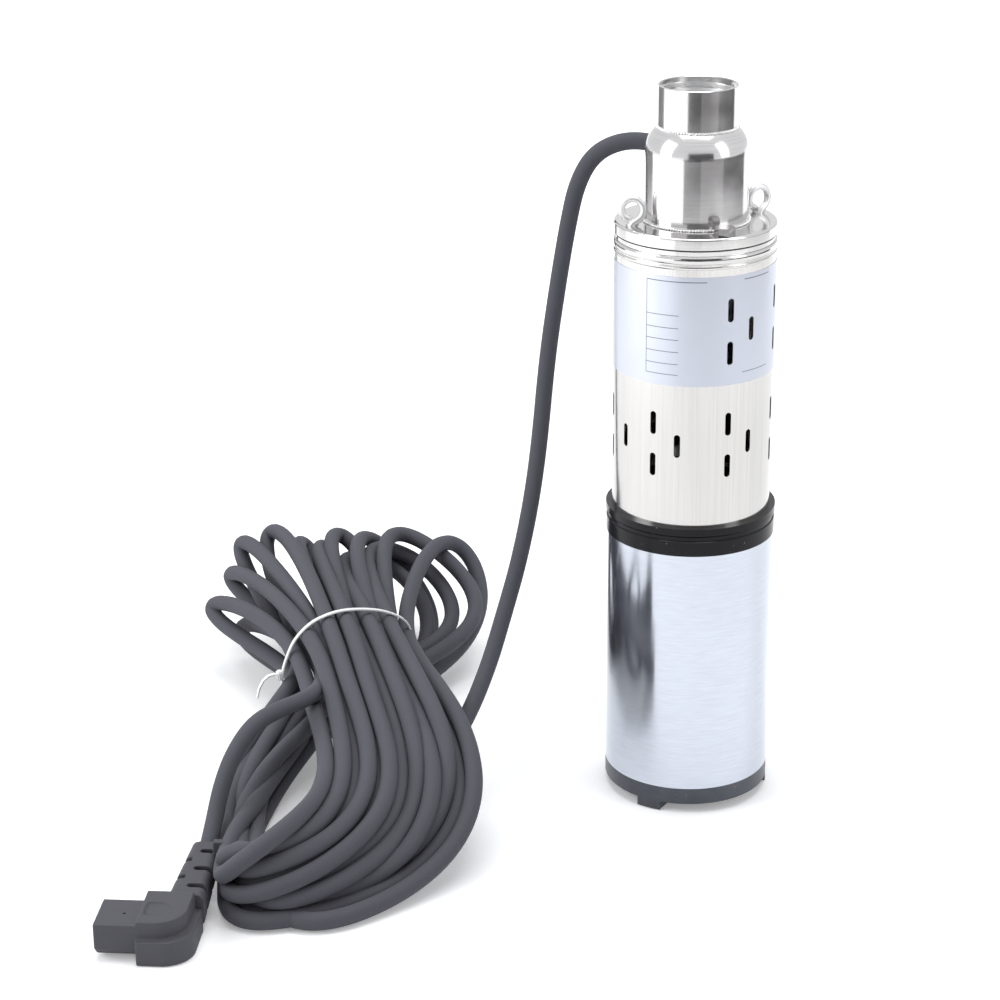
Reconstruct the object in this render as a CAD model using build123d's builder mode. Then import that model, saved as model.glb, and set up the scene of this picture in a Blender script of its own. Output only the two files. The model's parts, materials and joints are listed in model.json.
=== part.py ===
from build123d import *
from math import atan, cos, degrees, pi, radians, sin, tan
import os

os.makedirs("parts", exist_ok=True)

# Driving dimensions, millimetres and degrees

# Clearances
fit_gap = 0.05
running_gap = 0.3
face_gap = 0.05

# Cast base with three feet
foot_height = 4.2
foot_width = 11.6
foot_depth = 9.0
foot_count = 3
foot_angle = 219.2
base_band_height = 7.8
base_floor = 3.0
oil_plug_radius = 5.0
oil_plug_socket = 3.0
oil_plug_circle = 14.0

# Motor
motor_radius = 38.0
motor_wall = 1.5
motor_tube_length = 115.9
spigot_length = 10.0
o_ring_wire = 0.9
shaft_radius = 6.0
journal_radius = 8.0
bearing_radius = 16.0
bearing_width = 10.0
lower_bearing_bottom = 15.0
race_thickness = 2.8
ball_count = 7
stator_bore = 19.0
core_length = 52.0
core_bottom = 42.0
magnet_thickness = 1.6
magnet_count = 4
air_gap = 0.7
winding_height = 11.0
end_turn_radius = 25.2
end_turn_width = 10.0
stud_radius = 1.6
stud_circle = 32.6
stud_count = 3
stud_recess = 1.0

# Bracket between motor and pump, with the black ring that shows
ring_height = 13.0
ring_band_height = 6.7
ring_groove_depth = 0.6
ring_lip_height = 3.3
ring_stand_out = 0.35
lip_stand_out = 0.6
tube_seat_depth = 2.4
pump_spigot_height = 8.5
seal_radius = 11.0
seal_seat_height = 5.0

# Slotted filter tube
filter_radius = 35.9
filter_wall = 1.2
filter_length = 126.3
slot_width = 2.8
slot_length = 10.6
pair_spacing = 19.4
band_spacing = 52.0
lower_band_height = 40.5
pair_angles = (166.5, 217.3, 271.8, 322.0, 13.0, 64.0, 115.0)
single_steps = (24.5, 18.0, 17.5, 18.0, 18.0, 18.0, 18.0)

# Foil band round the tube
foil_thickness = 0.15
foil_bottom_height = 68.3
foil_height = 49.3
foil_start = 100.0
foil_sweep = 290.0
foil_open_from = 265.0
foil_open_to = 345.0

# Collar, gasket and head
collar_depth = 8.0
neck_height = 2.4
neck_radius = 35.3
gasket_thickness = 0.8
flange_radius = 36.0
flange_thickness = 5.0
bolt_circle = 30.2
bolt_radius = 2.5
bolt_hole_gap = 0.25
bolt_head_width = 8.0
bolt_head_height = 3.5
bolt_length = 13.0
eye_wire_radius = 1.6
eye_hole_radius = 3.2
head_radius = 22.9
head_wall = 1.5
head_straight = 30.5
dome_radius = 13.7
head_foot_fillet = 1.3
socket_radius = 17.6
socket_length = 18.4
thread_major_radius = 16.62

# Screw pump: the rotor turns and orbits in a double helix of rubber
eccentricity = 3.2
rotor_radius = 8.0
rotor_pitch = 28.0
stator_length = 60.0
barrel_radius = 23.0
barrel_wall = 1.5
barrel_lip = 2.0
ball_radius = 6.0
rod_radius = 3.0
ball_distance = 30.0
cup_wall = 3.2
cup_lip_radius = 4.7
lower_ball_height = 158.0

# Cord
cable_radius = 4.0
grommet_circle = 29.7
grommet_angle = 62.0
grommet_sleeve = 0.7
grommet_collar = 1.4
grommet_rise = 1.4
inner_gland_circle = 26.2
inner_gland_radius = 5.8
inner_gland_height = 9.0
gland_neck_radius = 5.0

# Places that follow from the sizes above

base_top = foot_height + base_band_height
tube_top = base_top + motor_tube_length
ring_top = tube_top + ring_height
filter_bottom = ring_top - tube_seat_depth
filter_top = filter_bottom + filter_length
neck_top = filter_top + neck_height
flange_bottom = neck_top + gasket_thickness
flange_top = flange_bottom + flange_thickness
tube_bore = motor_radius - motor_wall
spigot_radius = tube_bore - fit_gap
filter_bore = filter_radius - filter_wall
head_bore = head_radius - head_wall
bearing_seat = bearing_radius + fit_gap
lower_bearing_top = lower_bearing_bottom + bearing_width
core_top = core_bottom + core_length
upper_bearing_bottom = tube_top - 19.0
upper_bearing_top = upper_bearing_bottom + bearing_width
seal_face = ring_top - 4.0
recess_top = foot_height + base_floor
pocket_floor = lower_bearing_bottom - 1.5
stud_angle = foot_angle + 180 / foot_count
web_top = ring_top - 1.4
boss_top = ring_top + 3.0
groove_depth = 2 * o_ring_wire + fit_gap
base_groove_middle = base_top + spigot_length / 2
bracket_groove_middle = tube_top - spigot_length / 2


def save(builder, name):
    """Label a finished piece and write its file."""
    builder.part.label = name
    export_step(builder.part, f"parts/{name}.step")


def around(angle, radius, height=0.0):
    """A point at an angle and a distance from the pump's axis."""
    return Vector(radius * cos(radians(angle)), radius * sin(radians(angle)), height)


oil_plug_place = around(stud_angle, oil_plug_circle)


# Base casting: a band, three feet, a spigot in the motor tube and a bearing pocket
with BuildPart() as base_casting:
    boss_wall = 4.0
    with BuildSketch(Plane.XZ):
        with BuildLine():
            Polyline(
                (0, recess_top),
                (motor_radius - foot_depth - 5, recess_top),
                (motor_radius - foot_depth - 2, foot_height),
                (motor_radius, foot_height),
                (motor_radius, base_top),
                (spigot_radius, base_top),
                (spigot_radius, base_top + spigot_length),
                (spigot_radius - 3, base_top + spigot_length),
                (spigot_radius - 5, base_top + 2),
                (bearing_seat + boss_wall, base_top + 2),
                (bearing_seat + boss_wall, lower_bearing_top),
                (bearing_seat, lower_bearing_top),
                (bearing_seat, lower_bearing_bottom),
                (bearing_seat - race_thickness, lower_bearing_bottom),
                (bearing_seat - race_thickness, pocket_floor),
                (0, pocket_floor),
                close=True,
            )
        make_face()
        with Locations((spigot_radius, base_groove_middle)):
            Rectangle(groove_depth, 2 * o_ring_wire + 0.4, align=(Align.MAX, Align.CENTER), mode=Mode.SUBTRACT)
    revolve(axis=Axis.Z)
    with BuildSketch():
        with PolarLocations(motor_radius - foot_depth, foot_count, start_angle=foot_angle):
            Rectangle(2 * foot_depth, foot_width, align=(Align.MIN, Align.CENTER))
        Circle(motor_radius, mode=Mode.INTERSECT)
    extrude(amount=foot_height + base_floor / 2)
    with BuildSketch(Plane.XY.offset(foot_height)):
        with Locations(oil_plug_place):
            Circle(oil_plug_radius)
        with PolarLocations(stud_circle, stud_count, start_angle=stud_angle):
            Circle(stud_radius + fit_gap)
    extrude(amount=base_top + spigot_length, mode=Mode.SUBTRACT)
save(base_casting, "base_casting")

# Oil plug: a hexagon-socket plug in the underside of the base
with BuildPart() as oil_plug:
    with BuildSketch(Plane.XY.offset(recess_top)):
        with Locations(oil_plug_place):
            Circle(oil_plug_radius - fit_gap)
    extrude(amount=pocket_floor - recess_top)
    with BuildSketch(Plane.XY.offset(recess_top)):
        with Locations(oil_plug_place):
            RegularPolygon(oil_plug_radius / 2, 6)
    extrude(amount=oil_plug_socket, mode=Mode.SUBTRACT)
save(oil_plug, "oil_plug")

# Motor tube: polished stainless, held between the base and the bracket
with BuildPart() as motor_tube:
    with BuildSketch(Plane.XY.offset(base_top)):
        Circle(motor_radius)
        Circle(tube_bore, mode=Mode.SUBTRACT)
    extrude(amount=motor_tube_length)
save(motor_tube, "motor_tube")

# O-rings in the grooves of the two spigots
for name, height in (("base_o_ring", base_groove_middle), ("bracket_o_ring", bracket_groove_middle)):
    with BuildPart() as o_ring:
        with BuildSketch(Plane.XZ):
            with Locations((tube_bore - o_ring_wire - fit_gap, height)):
                Circle(o_ring_wire)
        revolve(axis=Axis.Z)
    save(o_ring, name)

# Laminated stator core with slots that open to the rotor, and notches for the studs
core_slots = 12
slot_root = 27.5
with BuildPart() as stator_core:
    with BuildSketch(Plane.XY.offset(core_bottom)):
        Circle(tube_bore - fit_gap)
        Circle(stator_bore, mode=Mode.SUBTRACT)
        with PolarLocations((stator_bore + slot_root) / 2, core_slots):
            Rectangle(slot_root - stator_bore + 2, 4.0, mode=Mode.SUBTRACT)
        with PolarLocations(stud_circle, stud_count, start_angle=stud_angle):
            Circle(stud_radius + running_gap, mode=Mode.SUBTRACT)
    extrude(amount=core_length)
save(stator_core, "stator_core")

# Windings: a coil side in each slot, joined by a rounded end turn above and below
with BuildPart() as stator_windings:
    coil_gap = 0.2
    coil_width = 4.0 - 2 * coil_gap
    with BuildSketch(Plane.XY.offset(core_bottom)):
        with PolarLocations((stator_bore + slot_root) / 2 + 1, core_slots):
            Rectangle(slot_root - stator_bore - 2 * coil_gap - 1, coil_width)
    extrude(amount=core_length)
    for edge_height in (core_bottom - winding_height, core_top):
        with BuildSketch(Plane.XZ):
            with Locations((end_turn_radius, edge_height + winding_height / 2)):
                RectangleRounded(end_turn_width, winding_height, end_turn_width / 4)
        revolve(axis=Axis.Z)
save(stator_windings, "stator_windings")

# Long studs that clamp the base and the bracket to the motor tube
with BuildPart() as motor_studs:
    with BuildSketch(Plane.XY.offset(foot_height + stud_recess)):
        with PolarLocations(stud_circle, stud_count, start_angle=stud_angle):
            Circle(stud_radius)
    extrude(amount=tube_top - foot_height)
save(motor_studs, "motor_studs")

# Mid bracket: the black ring, the upper bearing pocket, the seal chamber and both spigots
with BuildPart() as mid_bracket:
    groove_height = tube_top + ring_band_height + 1.2
    lip_bottom = ring_top - ring_lip_height
    inner_wall = 3.4
    hub_radius = bearing_seat + 3.5
    chamber_radius = seal_radius + 2
    with BuildSketch(Plane.XZ):
        with BuildLine():
            Polyline(
                (spigot_radius - inner_wall, tube_top - spigot_length),
                (spigot_radius, tube_top - spigot_length),
                (spigot_radius, tube_top),
                (motor_radius + ring_stand_out, tube_top),
                (motor_radius + ring_stand_out, tube_top + ring_band_height),
                (motor_radius + ring_stand_out - ring_groove_depth, groove_height - 0.7),
                (motor_radius + ring_stand_out - ring_groove_depth, groove_height + 0.9),
                (motor_radius + lip_stand_out, lip_bottom),
                (motor_radius + lip_stand_out, ring_top),
                (filter_radius + fit_gap, ring_top),
                (filter_radius + fit_gap, filter_bottom),
                (filter_bore - fit_gap, filter_bottom),
                (filter_bore - fit_gap, filter_bottom + pump_spigot_height),
                (filter_bore - 2, filter_bottom + pump_spigot_height),
                (filter_bore - 2, web_top),
                (seal_radius + 4, web_top),
                (seal_radius + 4, boss_top),
                (shaft_radius + 2, boss_top),
                (shaft_radius + 2, seal_face + seal_seat_height + fit_gap),
                (seal_radius, seal_face + seal_seat_height + fit_gap),
                (seal_radius, seal_face - 1),
                (chamber_radius, seal_face - 1),
                (chamber_radius, upper_bearing_top + 2.5),
                (bearing_seat - race_thickness, upper_bearing_top + 2.5),
                (bearing_seat - race_thickness, upper_bearing_top),
                (bearing_seat, upper_bearing_top),
                (bearing_seat, upper_bearing_bottom),
                (hub_radius, upper_bearing_bottom),
                (hub_radius, tube_top - 5),
                (spigot_radius - inner_wall, tube_top - 5),
                close=True,
            )
        make_face()
        with Locations((spigot_radius, bracket_groove_middle)):
            Rectangle(groove_depth, 2 * o_ring_wire + 0.4, align=(Align.MAX, Align.CENTER), mode=Mode.SUBTRACT)
    revolve(axis=Axis.Z)
    with Locations(around(grommet_angle, inner_gland_circle, tube_top)):
        Cylinder(gland_neck_radius + fit_gap, 4 * ring_height, mode=Mode.SUBTRACT)
    with BuildSketch(Plane.XY.offset(tube_top + stud_recess)):
        with PolarLocations(stud_circle, stud_count, start_angle=stud_angle):
            Circle(stud_radius + fit_gap)
    extrude(amount=-2 * spigot_length, mode=Mode.SUBTRACT)
save(mid_bracket, "mid_bracket")

# Ball bearings: an outer race in each pocket, an inner race on the shaft, balls between them
pitch_radius = (bearing_radius + shaft_radius) / 2
bearing_ball = (bearing_radius - shaft_radius) / 2 - race_thickness + 0.7
for name, bottom in (("lower", lower_bearing_bottom), ("upper", upper_bearing_bottom)):
    middle = bottom + bearing_width / 2
    with BuildPart() as outer_race:
        with BuildSketch(Plane.XZ):
            with Locations((bearing_radius, bottom)):
                Rectangle(race_thickness, bearing_width, align=(Align.MAX, Align.MIN))
            with Locations((pitch_radius, middle)):
                Circle(bearing_ball + face_gap, mode=Mode.SUBTRACT)
        revolve(axis=Axis.Z)
    save(outer_race, f"{name}_bearing_outer_race")
    with BuildPart() as inner_race:
        with BuildSketch(Plane.XZ):
            with Locations((shaft_radius + fit_gap, bottom)):
                Rectangle(race_thickness, bearing_width, align=(Align.MIN, Align.MIN))
            with Locations((pitch_radius, middle)):
                Circle(bearing_ball + face_gap, mode=Mode.SUBTRACT)
        revolve(axis=Axis.Z)
    save(inner_race, f"{name}_bearing_inner_race")
    with BuildPart() as balls:
        with Locations(Plane.XY.offset(middle)):
            with PolarLocations(pitch_radius, ball_count):
                Sphere(bearing_ball)
    save(balls, f"{name}_bearing_balls")

# Motor shaft: journals in the bearings, a thicker middle that carries the core
shaft_top = boss_top + 7.6
with BuildPart() as motor_shaft:
    with BuildSketch(Plane.XZ):
        with BuildLine():
            Polyline(
                (0, lower_bearing_bottom - 0.5),
                (shaft_radius - 0.5, lower_bearing_bottom - 0.5),
                (shaft_radius, lower_bearing_bottom),
                (shaft_radius, lower_bearing_top + 0.3),
                (journal_radius, lower_bearing_top + 0.3),
                (journal_radius, upper_bearing_bottom - 0.3),
                (shaft_radius, upper_bearing_bottom - 0.3),
                (shaft_radius, shaft_top - 0.5),
                (shaft_radius - 0.5, shaft_top),
                (0, shaft_top),
                close=True,
            )
        make_face()
    revolve(axis=Axis.Z)
save(motor_shaft, "motor_shaft")

# Rotor core on the shaft and the magnets bonded round it
magnet_outer = stator_bore - air_gap
core_radius = magnet_outer - magnet_thickness
with BuildPart() as rotor_core:
    with BuildSketch(Plane.XY.offset(core_bottom)):
        Circle(core_radius - fit_gap)
        Circle(journal_radius + fit_gap, mode=Mode.SUBTRACT)
        with PolarLocations((core_radius + journal_radius) / 2, magnet_count, start_angle=45):
            Circle(1.6, mode=Mode.SUBTRACT)
    extrude(amount=core_length)
save(rotor_core, "rotor_core")

magnet_width = 6.0
with BuildPart() as rotor_magnets:
    with BuildSketch(Plane.XY.offset(core_bottom)):
        Circle(magnet_outer)
        Circle(core_radius, mode=Mode.SUBTRACT)
        with PolarLocations(core_radius, magnet_count):
            Rectangle(4 * magnet_thickness, magnet_width / 3, mode=Mode.SUBTRACT)
    extrude(amount=core_length)
save(rotor_magnets, "rotor_magnets")

# Mechanical seal: a fixed seat in the bracket, a turning face ring and a rubber bellows behind it
with BuildPart() as seal_seat:
    with BuildSketch(Plane.XY.offset(seal_face)):
        Circle(seal_radius - fit_gap)
        Circle(shaft_radius + 1, mode=Mode.SUBTRACT)
    extrude(amount=seal_seat_height)
save(seal_seat, "seal_seat")

with BuildPart() as seal_ring:
    with BuildSketch(Plane.XY.offset(seal_face - face_gap - 4)):
        Circle(seal_radius - 1)
        Circle(shaft_radius + fit_gap, mode=Mode.SUBTRACT)
    extrude(amount=4)
save(seal_ring, "seal_ring")

bellows_bottom = upper_bearing_top + 3.0
bellows_height = seal_face - face_gap - 4 - fit_gap - bellows_bottom
with BuildPart() as seal_bellows:
    fold = bellows_height / 6
    with BuildSketch(Plane.XZ):
        with BuildLine():
            Polyline(
                (shaft_radius + fit_gap, bellows_bottom),
                (seal_radius - 1, bellows_bottom),
                (seal_radius - 1, bellows_bottom + fold),
                (seal_radius - 3, bellows_bottom + 2 * fold),
                (seal_radius - 1, bellows_bottom + 3 * fold),
                (seal_radius - 3, bellows_bottom + 4 * fold),
                (seal_radius - 1, bellows_bottom + 5 * fold),
                (seal_radius - 1, bellows_bottom + 6 * fold),
                (shaft_radius + fit_gap, bellows_bottom + 6 * fold),
                close=True,
            )
        make_face()
    revolve(axis=Axis.Z)
save(seal_bellows, "seal_bellows")

# Sand guard: a rubber lip on the shaft that covers the seal
guard_bottom = boss_top + 0.6
with BuildPart() as sand_guard:
    with BuildSketch(Plane.XZ):
        with BuildLine():
            Polyline(
                (shaft_radius + fit_gap, guard_bottom),
                (seal_radius + 3, guard_bottom),
                (seal_radius + 3, guard_bottom + 0.8),
                (shaft_radius + 3, guard_bottom + 2.4),
                (shaft_radius + fit_gap, guard_bottom + 2.4),
                close=True,
            )
        make_face()
    revolve(axis=Axis.Z)
save(sand_guard, "sand_guard")

# Coupling rod with a ball at each end: the upper ball stands off the axis by the eccentricity
upper_ball_height = lower_ball_height + ball_distance
rod_tilt = degrees(atan(eccentricity / ball_distance))
rod_length = ball_distance / cos(radians(rod_tilt))
cup_bore = ball_radius + running_gap
cup_outer = cup_bore + cup_wall
lip_reach = 6.4
with BuildPart() as coupling_rod:
    with Locations((0, 0, lower_ball_height), (eccentricity, 0, upper_ball_height)):
        Sphere(ball_radius)
    with Locations(Location((0, 0, lower_ball_height), (0, rod_tilt, 0))):
        Cylinder(rod_radius, rod_length, align=(Align.CENTER, Align.CENTER, Align.MIN))
save(coupling_rod, "coupling_rod")

# Cups that hold the balls, on the motor shaft and under the screw rotor
with BuildPart() as shaft_cup:
    with BuildSketch(Plane.XZ):
        with BuildLine():
            Polyline(
                (shaft_radius + fit_gap, guard_bottom + 2.4 + fit_gap),
                (cup_outer, guard_bottom + 2.4 + fit_gap),
                (cup_outer, lower_ball_height + lip_reach),
                (cup_lip_radius, lower_ball_height + lip_reach),
                (cup_lip_radius, lower_ball_height + lip_reach - 1.2),
                (cup_bore, lower_ball_height + lip_reach - 3.2),
                (cup_bore, shaft_top + fit_gap),
                (shaft_radius + fit_gap, shaft_top + fit_gap),
                close=True,
            )
        make_face()
    revolve(axis=Axis.Z)
save(shaft_cup, "shaft_cup")

rotor_bottom = upper_ball_height + cup_bore + 2.0
with BuildPart() as rotor_cup:
    with BuildSketch(Plane.XZ):
        with BuildLine():
            Polyline(
                (0, rotor_bottom),
                (cup_outer, rotor_bottom),
                (cup_outer, upper_ball_height - lip_reach),
                (cup_lip_radius, upper_ball_height - lip_reach),
                (cup_lip_radius, upper_ball_height - lip_reach + 1.2),
                (cup_bore, upper_ball_height - lip_reach + 3.2),
                (cup_bore, upper_ball_height + cup_bore),
                (0, upper_ball_height + cup_bore),
                close=True,
            )
        make_face()
    revolve(axis=Axis.Z)
    rotor_cup.part = rotor_cup.part.moved(Location((eccentricity, 0, 0)))
save(rotor_cup, "rotor_cup")

# Screw rotor: a circle set off its own axis and wound up that axis
barrel_top = filter_top - 0.6
stator_top = barrel_top - 6.0
stator_bottom = stator_top - stator_length
rotor_length = stator_top + 4.0 - rotor_bottom
with BuildPart() as screw_rotor:
    with BuildLine() as rotor_axis:
        Line((eccentricity, 0, rotor_bottom), (eccentricity, 0, rotor_bottom + rotor_length))
    with BuildSketch(Plane.XY.offset(rotor_bottom)):
        with Locations((2 * eccentricity, 0)):
            Circle(rotor_radius)
    sweep(
        path=rotor_axis.line,
        binormal=Helix(rotor_pitch, rotor_length, 3 * rotor_radius, center=(eccentricity, 0, rotor_bottom)),
    )
save(screw_rotor, "screw_rotor")

# Rubber stator: a slot of the rotor's width, as long as the stroke, wound at twice its pitch
with BuildPart() as stator_rubber:
    start_turn = (stator_bottom - rotor_bottom) * 360 / (2 * rotor_pitch)
    with BuildSketch(Plane.XY.offset(stator_bottom)):
        Circle(barrel_radius - barrel_wall - fit_gap)
    extrude(amount=stator_length)
    with BuildLine() as stator_axis:
        Line((0, 0, stator_bottom), (0, 0, stator_top))
    with BuildSketch(Plane.XY.offset(stator_bottom)):
        SlotCenterToCenter(4 * eccentricity, 2 * (rotor_radius + running_gap), rotation=start_turn)
    sweep(
        path=stator_axis.line,
        binormal=Helix(2 * rotor_pitch, stator_length, 3 * rotor_radius, center=(0, 0, stator_bottom)),
        mode=Mode.SUBTRACT,
    )
save(stator_rubber, "stator_rubber")

# Pump barrel round the rubber, hung in the collar
with BuildPart() as pump_barrel:
    with BuildSketch(Plane.XZ):
        with BuildLine():
            Polyline(
                (barrel_radius, stator_bottom - barrel_lip),
                (barrel_radius, barrel_top),
                (barrel_radius - barrel_wall, barrel_top),
                (barrel_radius - barrel_wall, stator_bottom - fit_gap),
                (barrel_radius - barrel_wall - 3, stator_bottom - fit_gap),
                (barrel_radius - barrel_wall - 3, stator_bottom - barrel_lip),
                close=True,
            )
        make_face()
    revolve(axis=Axis.Z)
save(pump_barrel, "pump_barrel")



def slot_places(band):
    """Angle and height of each slot in a band: the two of a pair, and the single one beside them."""
    middle = filter_bottom + lower_band_height + band * band_spacing
    places = []
    for pair_angle, single_step in zip(pair_angles, single_steps):
        places.append((pair_angle, middle - pair_spacing / 2))
        places.append((pair_angle, middle + pair_spacing / 2))
        places.append((pair_angle + single_step, middle))
    return places


def slot_plane(angle, height):
    """A plane inside the tube's wall that faces outwards, with its X axis along the tube."""
    return Plane(around(angle, filter_bore - 1, height), x_dir=(0, 0, 1), z_dir=around(angle, 1))


# Filter tube with two bands of slots: pairs, and single slots half way between them
with BuildPart() as filter_tube:
    with BuildSketch(Plane.XY.offset(filter_bottom)):
        Circle(filter_radius)
        Circle(filter_bore, mode=Mode.SUBTRACT)
    extrude(amount=filter_length)
    fillet(filter_tube.edges().group_by(Axis.Z)[-1].sort_by(SortBy.RADIUS)[-1], filter_wall * 0.7)
    for band in range(2):
        for angle, height in slot_places(band):
            with BuildSketch(slot_plane(angle, height)):
                SlotOverall(slot_length, slot_width)
            extrude(amount=filter_wall + 2, mode=Mode.SUBTRACT)
save(filter_tube, "filter_tube")

# Foil band: a thin open ring, pierced where the photographed one is
foil_bottom = filter_bottom + foil_bottom_height
foil_inner = filter_radius + fit_gap / 2
with BuildPart() as foil_band:
    with BuildSketch(Plane.XZ.rotated((0, 0, foil_start))):
        with Locations((foil_inner, foil_bottom)):
            Rectangle(foil_thickness, foil_height, align=(Align.MIN, Align.MIN))
    revolve(axis=Axis.Z, revolution_arc=foil_sweep)
    for angle, height in slot_places(1):
        if foil_open_from < angle < foil_open_to:
            with BuildSketch(slot_plane(angle, height)):
                SlotOverall(slot_length, slot_width)
            extrude(amount=filter_wall + 2, mode=Mode.SUBTRACT)
save(foil_band, "foil_band")

# Collar in the top of the filter tube: it takes the bolts and the pump barrel
bolt_points = [around(quarter * 90, bolt_circle) for quarter in range(4)]
grommet_point = around(grommet_angle, grommet_circle)
sleeve_radius = cable_radius + grommet_sleeve
with BuildPart() as pump_collar:
    with BuildSketch(Plane.XZ):
        with BuildLine():
            Polyline(
                (barrel_radius + fit_gap, filter_top - collar_depth),
                (filter_bore - fit_gap, filter_top - collar_depth),
                (filter_bore - fit_gap, filter_top),
                (neck_radius, filter_top),
                (neck_radius, neck_top),
                (head_bore, neck_top),
                (head_bore, barrel_top + fit_gap),
                (barrel_radius + fit_gap, barrel_top + fit_gap),
                close=True,
            )
        make_face()
    revolve(axis=Axis.Z)
    with Locations(*bolt_points):
        with Locations((0, 0, neck_top)):
            Cylinder(bolt_radius + fit_gap, 4 * collar_depth, mode=Mode.SUBTRACT)
    with Locations(grommet_point):
        with Locations((0, 0, neck_top)):
            Cylinder(sleeve_radius + fit_gap, 4 * collar_depth, mode=Mode.SUBTRACT)
save(pump_collar, "pump_collar")

# Gasket, head flange and the domed head with its pipe socket
with BuildPart() as head_gasket:
    with BuildSketch(Plane.XY.offset(neck_top)):
        Circle(flange_radius - 0.4)
        Circle(head_bore, mode=Mode.SUBTRACT)
        with Locations(*bolt_points):
            Circle(bolt_radius + bolt_hole_gap, mode=Mode.SUBTRACT)
        with Locations(grommet_point):
            Circle(sleeve_radius + fit_gap, mode=Mode.SUBTRACT)
    extrude(amount=gasket_thickness)
save(head_gasket, "head_gasket")

with BuildPart() as head_flange:
    with BuildSketch(Plane.XY.offset(flange_bottom)):
        Circle(flange_radius)
        Circle(head_bore, mode=Mode.SUBTRACT)
        with Locations(*bolt_points):
            Circle(bolt_radius + bolt_hole_gap, mode=Mode.SUBTRACT)
        with Locations(grommet_point):
            Circle(sleeve_radius + fit_gap, mode=Mode.SUBTRACT)
    extrude(amount=flange_thickness)
    fillet(head_flange.edges().group_by(Axis.Z)[-1].sort_by(SortBy.RADIUS)[-1], flange_thickness / 5)
save(head_flange, "head_flange")

dome_start = flange_top + head_straight
dome_centre = head_radius - dome_radius
dome_rise = ((dome_radius**2) - (socket_radius - dome_centre) ** 2) ** 0.5
dome_inner = dome_radius - head_wall
inner_rise = (dome_inner**2 - (thread_major_radius - dome_centre) ** 2) ** 0.5
dome_top = dome_start + dome_rise
with BuildPart() as outlet_head:
    with BuildSketch(Plane.XZ):
        with BuildLine():
            Line((head_bore, dome_start), (head_bore, flange_top))
            Line((head_bore, flange_top), (head_radius + head_foot_fillet, flange_top))
            RadiusArc(
                (head_radius + head_foot_fillet, flange_top),
                (head_radius, flange_top + head_foot_fillet),
                head_foot_fillet,
            )
            Line((head_radius, flange_top + head_foot_fillet), (head_radius, dome_start))
            RadiusArc((head_radius, dome_start), (socket_radius, dome_top), -dome_radius)
            Line((socket_radius, dome_top), (thread_major_radius, dome_top))
            Line((thread_major_radius, dome_top), (thread_major_radius, dome_start + inner_rise))
            RadiusArc((thread_major_radius, dome_start + inner_rise), (head_bore, dome_start), dome_inner)
        make_face()
    revolve(axis=Axis.Z)
save(outlet_head, "outlet_head")

socket_top = dome_top + socket_length
with BuildPart() as outlet_socket:
    with BuildSketch(Plane.XY.offset(dome_top)):
        Circle(socket_radius)
        Circle(thread_major_radius, mode=Mode.SUBTRACT)
    extrude(amount=socket_length)
    chamfer(outlet_socket.edges().group_by(Axis.Z)[-1], (socket_radius - thread_major_radius) * 0.3)
save(outlet_socket, "outlet_socket")

# Hexagon bolts on the Y axis, eye bolts on the X axis
with BuildPart() as hex_bolts:
    for quarter in (1, 3):
        foot = around(quarter * 90, bolt_circle)
        with BuildSketch(Plane.XY.offset(flange_top)):
            with Locations((foot.X, foot.Y)):
                RegularPolygon(bolt_head_width / 2, 6, major_radius=False, rotation=30)
        extrude(amount=bolt_head_height)
        with Locations((foot.X, foot.Y, flange_top)):
            Cylinder(bolt_radius, bolt_length, align=(Align.CENTER, Align.CENTER, Align.MAX))
save(hex_bolts, "hex_bolts")

eye_radius = eye_hole_radius + eye_wire_radius
eye_height = flange_top + 0.4 + eye_radius + eye_wire_radius
for name, angle in (("eye_bolt_right", 0), ("eye_bolt_left", 180)):
    foot = around(angle, bolt_circle)
    with BuildPart() as eye_bolt:
        with Locations(Location((foot.X, foot.Y, eye_height), (90, 0, 0))):
            Torus(eye_radius, eye_wire_radius)
        with Locations((foot.X, foot.Y, flange_top + eye_wire_radius)):
            Cylinder(bolt_radius, bolt_length, align=(Align.CENTER, Align.CENTER, Align.MAX))
    save(eye_bolt, name)

# Grommet in the flange, the cord's inner run down to the bracket, and the gland there
grommet_bottom = filter_top - 1.0
with BuildPart() as cable_grommet:
    with BuildSketch(Plane.XY.offset(grommet_bottom)):
        with Locations((grommet_point.X, grommet_point.Y)):
            Circle(sleeve_radius)
            Circle(cable_radius + fit_gap, mode=Mode.SUBTRACT)
    extrude(amount=flange_top - grommet_bottom)
    with BuildSketch(Plane.XY.offset(flange_top)):
        with Locations((grommet_point.X, grommet_point.Y)):
            Circle(sleeve_radius + grommet_sleeve)
            Circle(cable_radius + fit_gap, mode=Mode.SUBTRACT)
    extrude(amount=grommet_rise)
save(cable_grommet, "cable_grommet")

inner_point = around(grommet_angle, inner_gland_circle)
lead_start = flange_top - 7.5
gland_neck_end = tube_top - 3.0
with BuildPart() as inner_cable:
    with BuildLine() as inner_path:
        FilletPolyline(
            around(grommet_angle, grommet_circle, lead_start),
            around(grommet_angle, grommet_circle, stator_bottom - 8),
            around(grommet_angle, inner_gland_circle, stator_bottom - 28),
            around(grommet_angle, inner_gland_circle, web_top),
            radius=60,
        )
    with BuildSketch(Plane(origin=inner_path.line @ 0, z_dir=inner_path.line % 0)):
        Circle(cable_radius)
    sweep(path=inner_path.line)
save(inner_cable, "inner_cable")

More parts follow.
